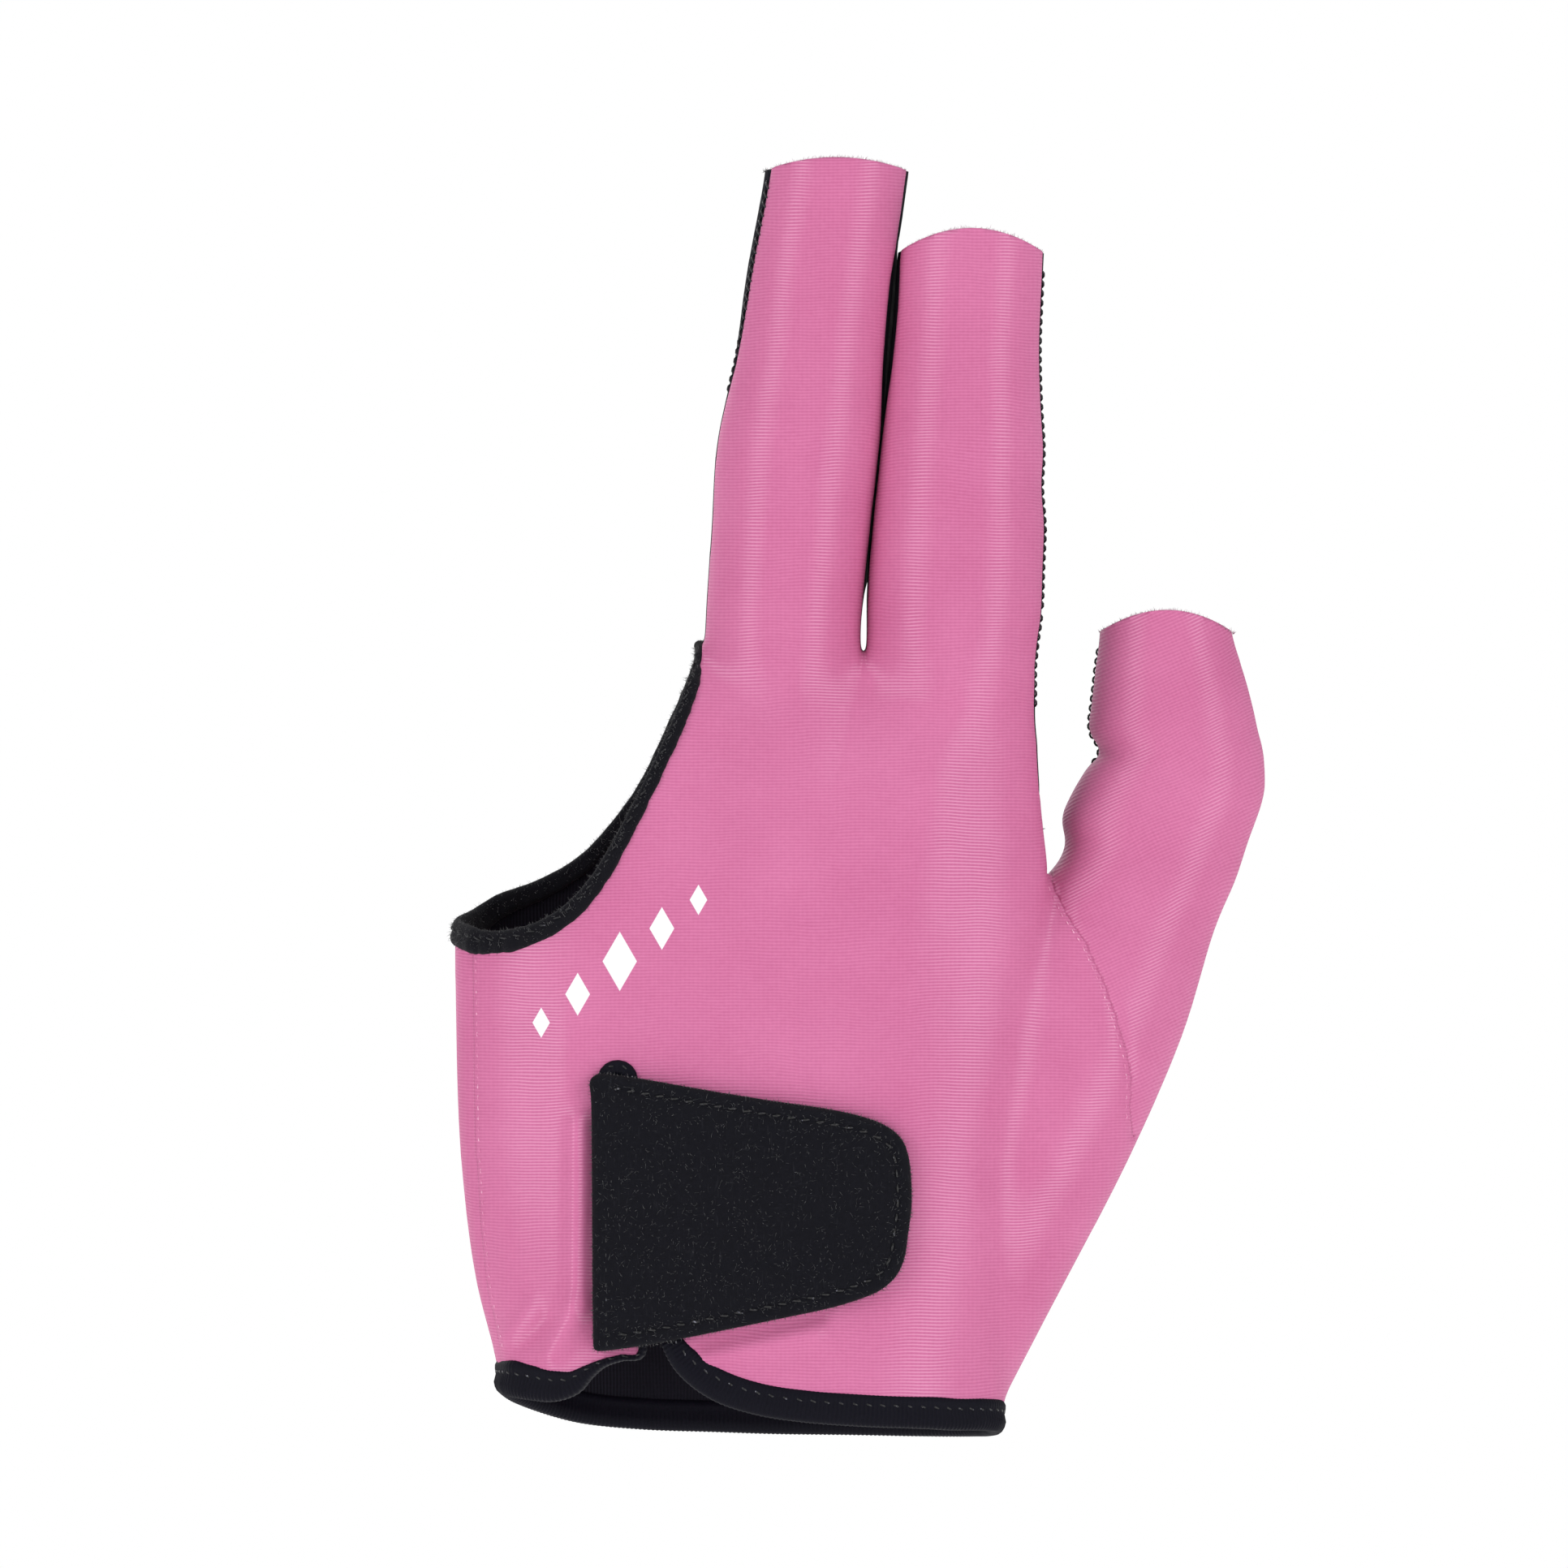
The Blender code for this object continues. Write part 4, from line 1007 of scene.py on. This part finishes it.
# Bindings
# Ribbed black elastic is folded over the wrist's hem and up round the slit, and
# stitched in a groove. The side opening has a plush tape.
TAPE_SIDES = 20
WRIST_TAPE = 2.5
PLUSH_TAPE = 2.2
WRIST_RIB = 0.62
WRIST_GROOVE, PLUSH_GROOVE = -0.34, -0.3
PILE_ROOT = 0.9


def tape_frame(path):
    """Directions at each station of a tape: along, outwards, and across towards its open side."""
    along = unit(np.roll(path[:, :3], -1, axis=0) - np.roll(path[:, :3], 1, axis=0))
    outwards = unit(path[:, 4:7] - along * np.sum(path[:, 4:7] * along, axis=1)[:, None])
    return along, outwards, np.cross(along, outwards)


def swept_tape(name, path, thickness, swell, groove, finish, node):
    """A folded tape along a path. swell: how far it stands out at each station. groove: place and depth."""
    outwards, flat = tape_frame(path)[1:]
    rings = []
    for side in range(TAPE_SIDES):
        angle = 2 * math.pi * (side + 0.5) / TAPE_SIDES
        across = math.copysign(abs(math.cos(angle)) ** 0.8, math.cos(angle))
        deep = math.copysign(abs(math.sin(angle)) ** 0.8, math.sin(angle))
        deep *= (1 - groove[1] * math.exp(-((across - groove[0]) / 0.17) ** 2)) * (1.0 + 0.16 * across)
        grown = swell * (0.4 + 0.6 * (across > groove[0]))
        reach = flat * (across * (path[:, 3] / 2 + grown * 0.5))[:, None]
        rings.append(path[:, :3] + reach + outwards * (deep * (thickness / 2 + grown))[:, None])
    rings = np.stack(rings, axis=1)
    made = mesh_object(name, rings.reshape(-1, 3), tube_faces(rings, closed=True))
    return on_glove(made, finish, node)


dull = {"Roughness": 0.6, "Specular IOR Level": 0.09}
elastic, elastic_shader = new_material("ribbed_elastic", "#1B1A28", dull)
weave = noise(elastic, in_mm(elastic), 2.4, 4.0, 0.7)
bumped(elastic, elastic_shader, weave, 0.5, 0.12)
coloured(elastic, elastic_shader, mixed(elastic, weave, "#06060D", "#100F1B"))
rib_pitch = wrist_length / round(wrist_length / WRIST_RIB)
wrist_ribs = 0.085 * np.cos(2 * np.pi * wrist_run / rib_pitch)
swept_tape(
    "wrist_binding_tape", wrist_path, WRIST_TAPE, wrist_ribs, (WRIST_GROOVE, 0.42), elastic, "wrist_binding",
)

soft = {"Roughness": 0.9, "Sheen Weight": 0.06, "Sheen Roughness": 0.5, "Specular IOR Level": 0.1}
plush, plush_shader = new_material("plush_tape", "#15141C", soft)
pile = noise(plush, in_mm(plush), 3.2, 4.0, 0.75)
bumped(plush, plush_shader, pile, 0.8, 0.25)
coloured(plush, plush_shader, mixed(plush, pile, "#050508", "#15141C"))
plush_swell = 0.09 * np.convolve(random.normal(0, 1, len(opening_path)), np.ones(5) / 2.2, mode="same")
swept_tape(
    "finger_opening_tape", opening_path, PLUSH_TAPE, plush_swell, (PLUSH_GROOVE, 0.2), plush,
    "finger_opening_binding",
)


def binding_stitches(name, path, place, step, lift, thickness, length, radius, thread):
    """Stitches in the groove of a tape, on its outer face."""
    outwards, flat = tape_frame(path)[1:]
    line = path[:, :3] + flat * (place * path[:, 3] / 2)[:, None] + outwards * (thickness / 2 * lift)
    places, alongs = even_places(line, step)
    close = [int(np.argmin(np.linalg.norm(line - spot, axis=1))) for spot in places]
    slant = unit(alongs + flat[close] * 0.35)
    stitch_row(name, places, outwards[close], slant, length, radius, thread)


binding_stitches(
    "wrist_binding_stitches", wrist_path, WRIST_GROOVE, 2.0, 0.56, WRIST_TAPE, 1.6, 0.17, glinting_thread,
)
binding_stitches(
    "opening_binding_stitches", opening_path, PLUSH_GROOVE, 2.2, 0.78, PLUSH_TAPE, 1.4, 0.12, black_thread,
)
outwards, flat = tape_frame(opening_path)[1:]
picked = random.integers(0, len(opening_path), 5200)
angles = random.uniform(0, 2 * np.pi, len(picked))
leans = flat[picked] * np.cos(angles)[:, None] + outwards[picked] * np.sin(angles)[:, None]
aside = np.cos(angles) * opening_path[picked, 3] / 2 * PILE_ROOT
above = np.sin(angles) * PLUSH_TAPE / 2 * PILE_ROOT
roots = opening_path[picked, :3] + flat[picked] * aside[:, None] + outwards[picked] * above[:, None]
fuzz("opening_plush_pile", roots, leans, 0.62, 0.03, fibre("plush_fibre", "#181720"), "black_binding")

# Closure tab
# Brushed loop felt, cut with rounded corners and stitched 2 mm inside its edge.
# Its root is sewn to the back at the left, and it lies over the slit.
TAB_OUTLINE = [
    (-23.0, 51.4), (-22.5, 52.5), (-21.1, 53.0), (-16.4, 52.4), (-7.2, 50.8), (2.0, 49.3), (11.3, 47.9),
    (16.4, 46.7), (19.4, 45.4), (21.4, 43.6), (22.4, 40.9), (22.75, 37.2), (22.75, 33.9), (22.3, 30.4),
    (21.8, 27.0), (20.8, 24.6), (19.2, 22.9), (16.7, 21.5), (11.3, 19.8), (2.3, 17.9), (-8.5, 15.7),
    (-14.3, 14.6), (-21.5, 13.6), (-22.2, 14.2), (-22.5, 16.8), (-22.7, 46.4),
]
TAB_CELL = 0.45
TAB_THICK = 1.5
TAB_RISE = 0.9
STITCH_INSET = 2.0
STITCHED_FROM, DENTED_FROM = -20.6, -19.5
NAP_COUNT = 4200

tab_edge = resampled([(x, 0, z) for x, z in TAB_OUTLINE], 0.5)[0][:, [0, 2]]


def within(outline):
    """A field that is the distance inside an outline seen from the front, and below 0 outside it."""
    ends = np.roll(outline, -1, axis=0)

    def field(points):
        flat = points[:, [0, 2]]
        best = np.full(len(flat), 1e9)
        crossings = np.zeros(len(flat), int)
        for start, end in zip(outline, ends):
            along = end - start
            share = np.clip(((flat - start) @ along) / max(along @ along, 1e-9), 0, 1)
            best = np.minimum(best, np.linalg.norm(flat - (start + share[:, None] * along), axis=1))
            if start[1] != end[1]:
                over = (start[1] > flat[:, 1]) != (end[1] > flat[:, 1])
                cross = start[0] + (flat[:, 1] - start[1]) / (end[1] - start[1]) * along[0]
                crossings += over & (flat[:, 0] < cross)
        return np.where(crossings % 2 == 1, best, -best)

    return field


def sheet_terms(x, z):
    """Terms of the smooth sheet in which the felt lies."""
    return np.stack([np.ones_like(x), x, z, x ** 2, z ** 2, x * z, x ** 3, x ** 4], axis=-1)


tab_field = within(tab_edge)
xs = np.arange(-24, 24, TAB_CELL)
zs = np.arange(12.5, 54.5, TAB_CELL)
grid = np.array([(x, 0, z) for z in zs for x in xs])
cells = [
    (row * len(xs) + col, row * len(xs) + col + 1, (row + 1) * len(xs) + col + 1, (row + 1) * len(xs) + col)
    for row in range(len(zs) - 1) for col in range(len(xs) - 1)
]
flat_points, flat_faces = trimmed(grid, cells, tab_field)
depth = np.maximum(tab_field(flat_points), 0)
# the felt bridges the slit's tapes and the hollows of the knit, as a stiff sheet does
flat_x, flat_z = flat_points[:, 0], flat_points[:, 2]
lift = np.array([on_back(x, z)[0].y for x, z in zip(flat_x, flat_z)])
terms = sheet_terms(flat_x, flat_z)
weights = np.linalg.lstsq(terms, lift, rcond=None)[0]
sheet_y = np.minimum(terms @ weights, lift + 0.3) - TAB_RISE
edge_round = np.sqrt(np.clip(1 - (1 - np.clip(depth / 0.8, 0, 1)) ** 2, 0, 1))
dent = 0.35 * near(depth, STITCH_INSET, 0.4) * (flat_x > DENTED_FROM)
top_y = sheet_y - TAB_THICK * (0.45 + 0.55 * edge_round) + dent
count = len(flat_points)
tab_points = np.vstack([np.stack([flat_x, face_y, flat_z], axis=1) for face_y in (top_y, sheet_y)])
tab_faces = list(flat_faces) + [tuple(corner + count for corner in face[::-1]) for face in flat_faces]
sides = {}
for face in flat_faces:
    for here, there in zip(face, face[1:] + face[:1]):
        sides[(here, there)] = sides.get((here, there), 0) + 1
for here, there in list(sides):
    if (there, here) not in sides:
        tab_faces.append((there, here, here + count, there + count))
tab = mesh_object("closure_tab_felt", tab_points, tab_faces)
brushed = {"Roughness": 0.95, "Sheen Weight": 0.03, "Sheen Roughness": 0.6, "Specular IOR Level": 0.08}
felt, felt_shader = new_material("brushed_loop_felt", "#18181D", brushed)
# pale fibres lie every way in the black: thin streaks of noise, turned apart
streaks = None
for lean, scale, stretch in ((28, 3.0, (1, 1, 0.16)), (-37, 2.7, (1, 1, 0.16)), (84, 3.3, (0.2, 1, 1))):
    streak = mapped(felt, noise(felt, in_mm(felt, lean, (lean, 0, 0), stretch), scale), 0.64, 0.84)
    streaks = streak if streaks is None else calc(felt, "MAXIMUM", streaks, streak)
nap = noise(felt, in_mm(felt), 1.5, 6.0, 0.8)
ground = mixed(felt, nap, "#050509", "#17171E")
coloured(felt, felt_shader, mixed(felt, streaks, ground, "#202026"))
bumped(felt, felt_shader, calc(felt, "ADD", nap, streaks), 0.7, 0.2)
on_glove(tab, felt, "closure_tab")
tab.data.set_sharp_from_angle(angle=math.radians(50))


def felt_top(x, z):
    """How deep the felt's outer face lies."""
    return min(float(sheet_terms(x, z) @ weights), on_back(x, z)[0].y + 0.3) - TAB_RISE - TAB_THICK


ahead = unit(np.roll(tab_edge, -1, axis=0) - np.roll(tab_edge, 1, axis=0))
inward = np.stack([ahead[:, 1], -ahead[:, 0]], axis=1)
stitch_edge = tab_edge + inward * STITCH_INSET
if tab_field(np.array([[stitch_edge[0, 0], 0, stitch_edge[0, 1]]]))[0] < 0:
    inward = -inward
    stitch_edge = tab_edge + inward * STITCH_INSET
# the row starts where the outline leaves the sewn root
sewn = stitch_edge[:, 0] > STITCHED_FROM
first = int(np.argmax(sewn & ~np.roll(sewn, 1)))
kept = [spot for spot in np.roll(stitch_edge, -first, axis=0) if spot[0] > STITCHED_FROM]
places, alongs = even_places([(x, felt_top(x, z) + 0.28, z) for x, z in kept], 2.1)
slant = unit(alongs + np.array([0, 0, 0.25]))
outwards = np.tile([0.0, -1.0, 0.0], (len(places), 1))
tab_stitches = stitch_row(
    "closure_tab_stitches", places, outwards, slant, 1.5, 0.18, glinting_thread,
)
picked = random.integers(0, len(tab_edge), 1500)
roots = []
for (x, z), across in zip(tab_edge[picked], inward[picked]):
    roots.append((x, felt_top(*((x, z) + across * 0.4)) + random.uniform(0.2, 1.3), z))
leans = np.stack([-inward[picked, 0], random.normal(-0.3, 0.5, len(picked)), -inward[picked, 1]], axis=1)
roots = np.array(roots) - leans * 0.12
edge_fibre = fibre("felt_edge_fibre", "#15151A")
tab_fuzz = fuzz("closure_tab_edge_fibres", roots, leans, 0.55, 0.03, edge_fibre, "black_felt")
spots = np.zeros((NAP_COUNT, 3))
spots[:, 0] = random.uniform(-22.5, 22.5, NAP_COUNT)
spots[:, 2] = random.uniform(14, 52.5, NAP_COUNT)
spots = spots[tab_field(spots) > 0.5]
roots = np.array([(x, felt_top(x, z) + 0.03, z) for x, y, z in spots])
spin = random.uniform(0, 2 * np.pi, len(roots))
leans = np.stack([np.cos(spin), np.full(len(roots), -0.25), np.sin(spin)], axis=1)
nap_fibre = fibre("felt_nap_fibre", "#1F1F27")
tab_fibres = fuzz("closure_tab_nap", roots, leans, 0.8, 0.02, nap_fibre, "black_felt")
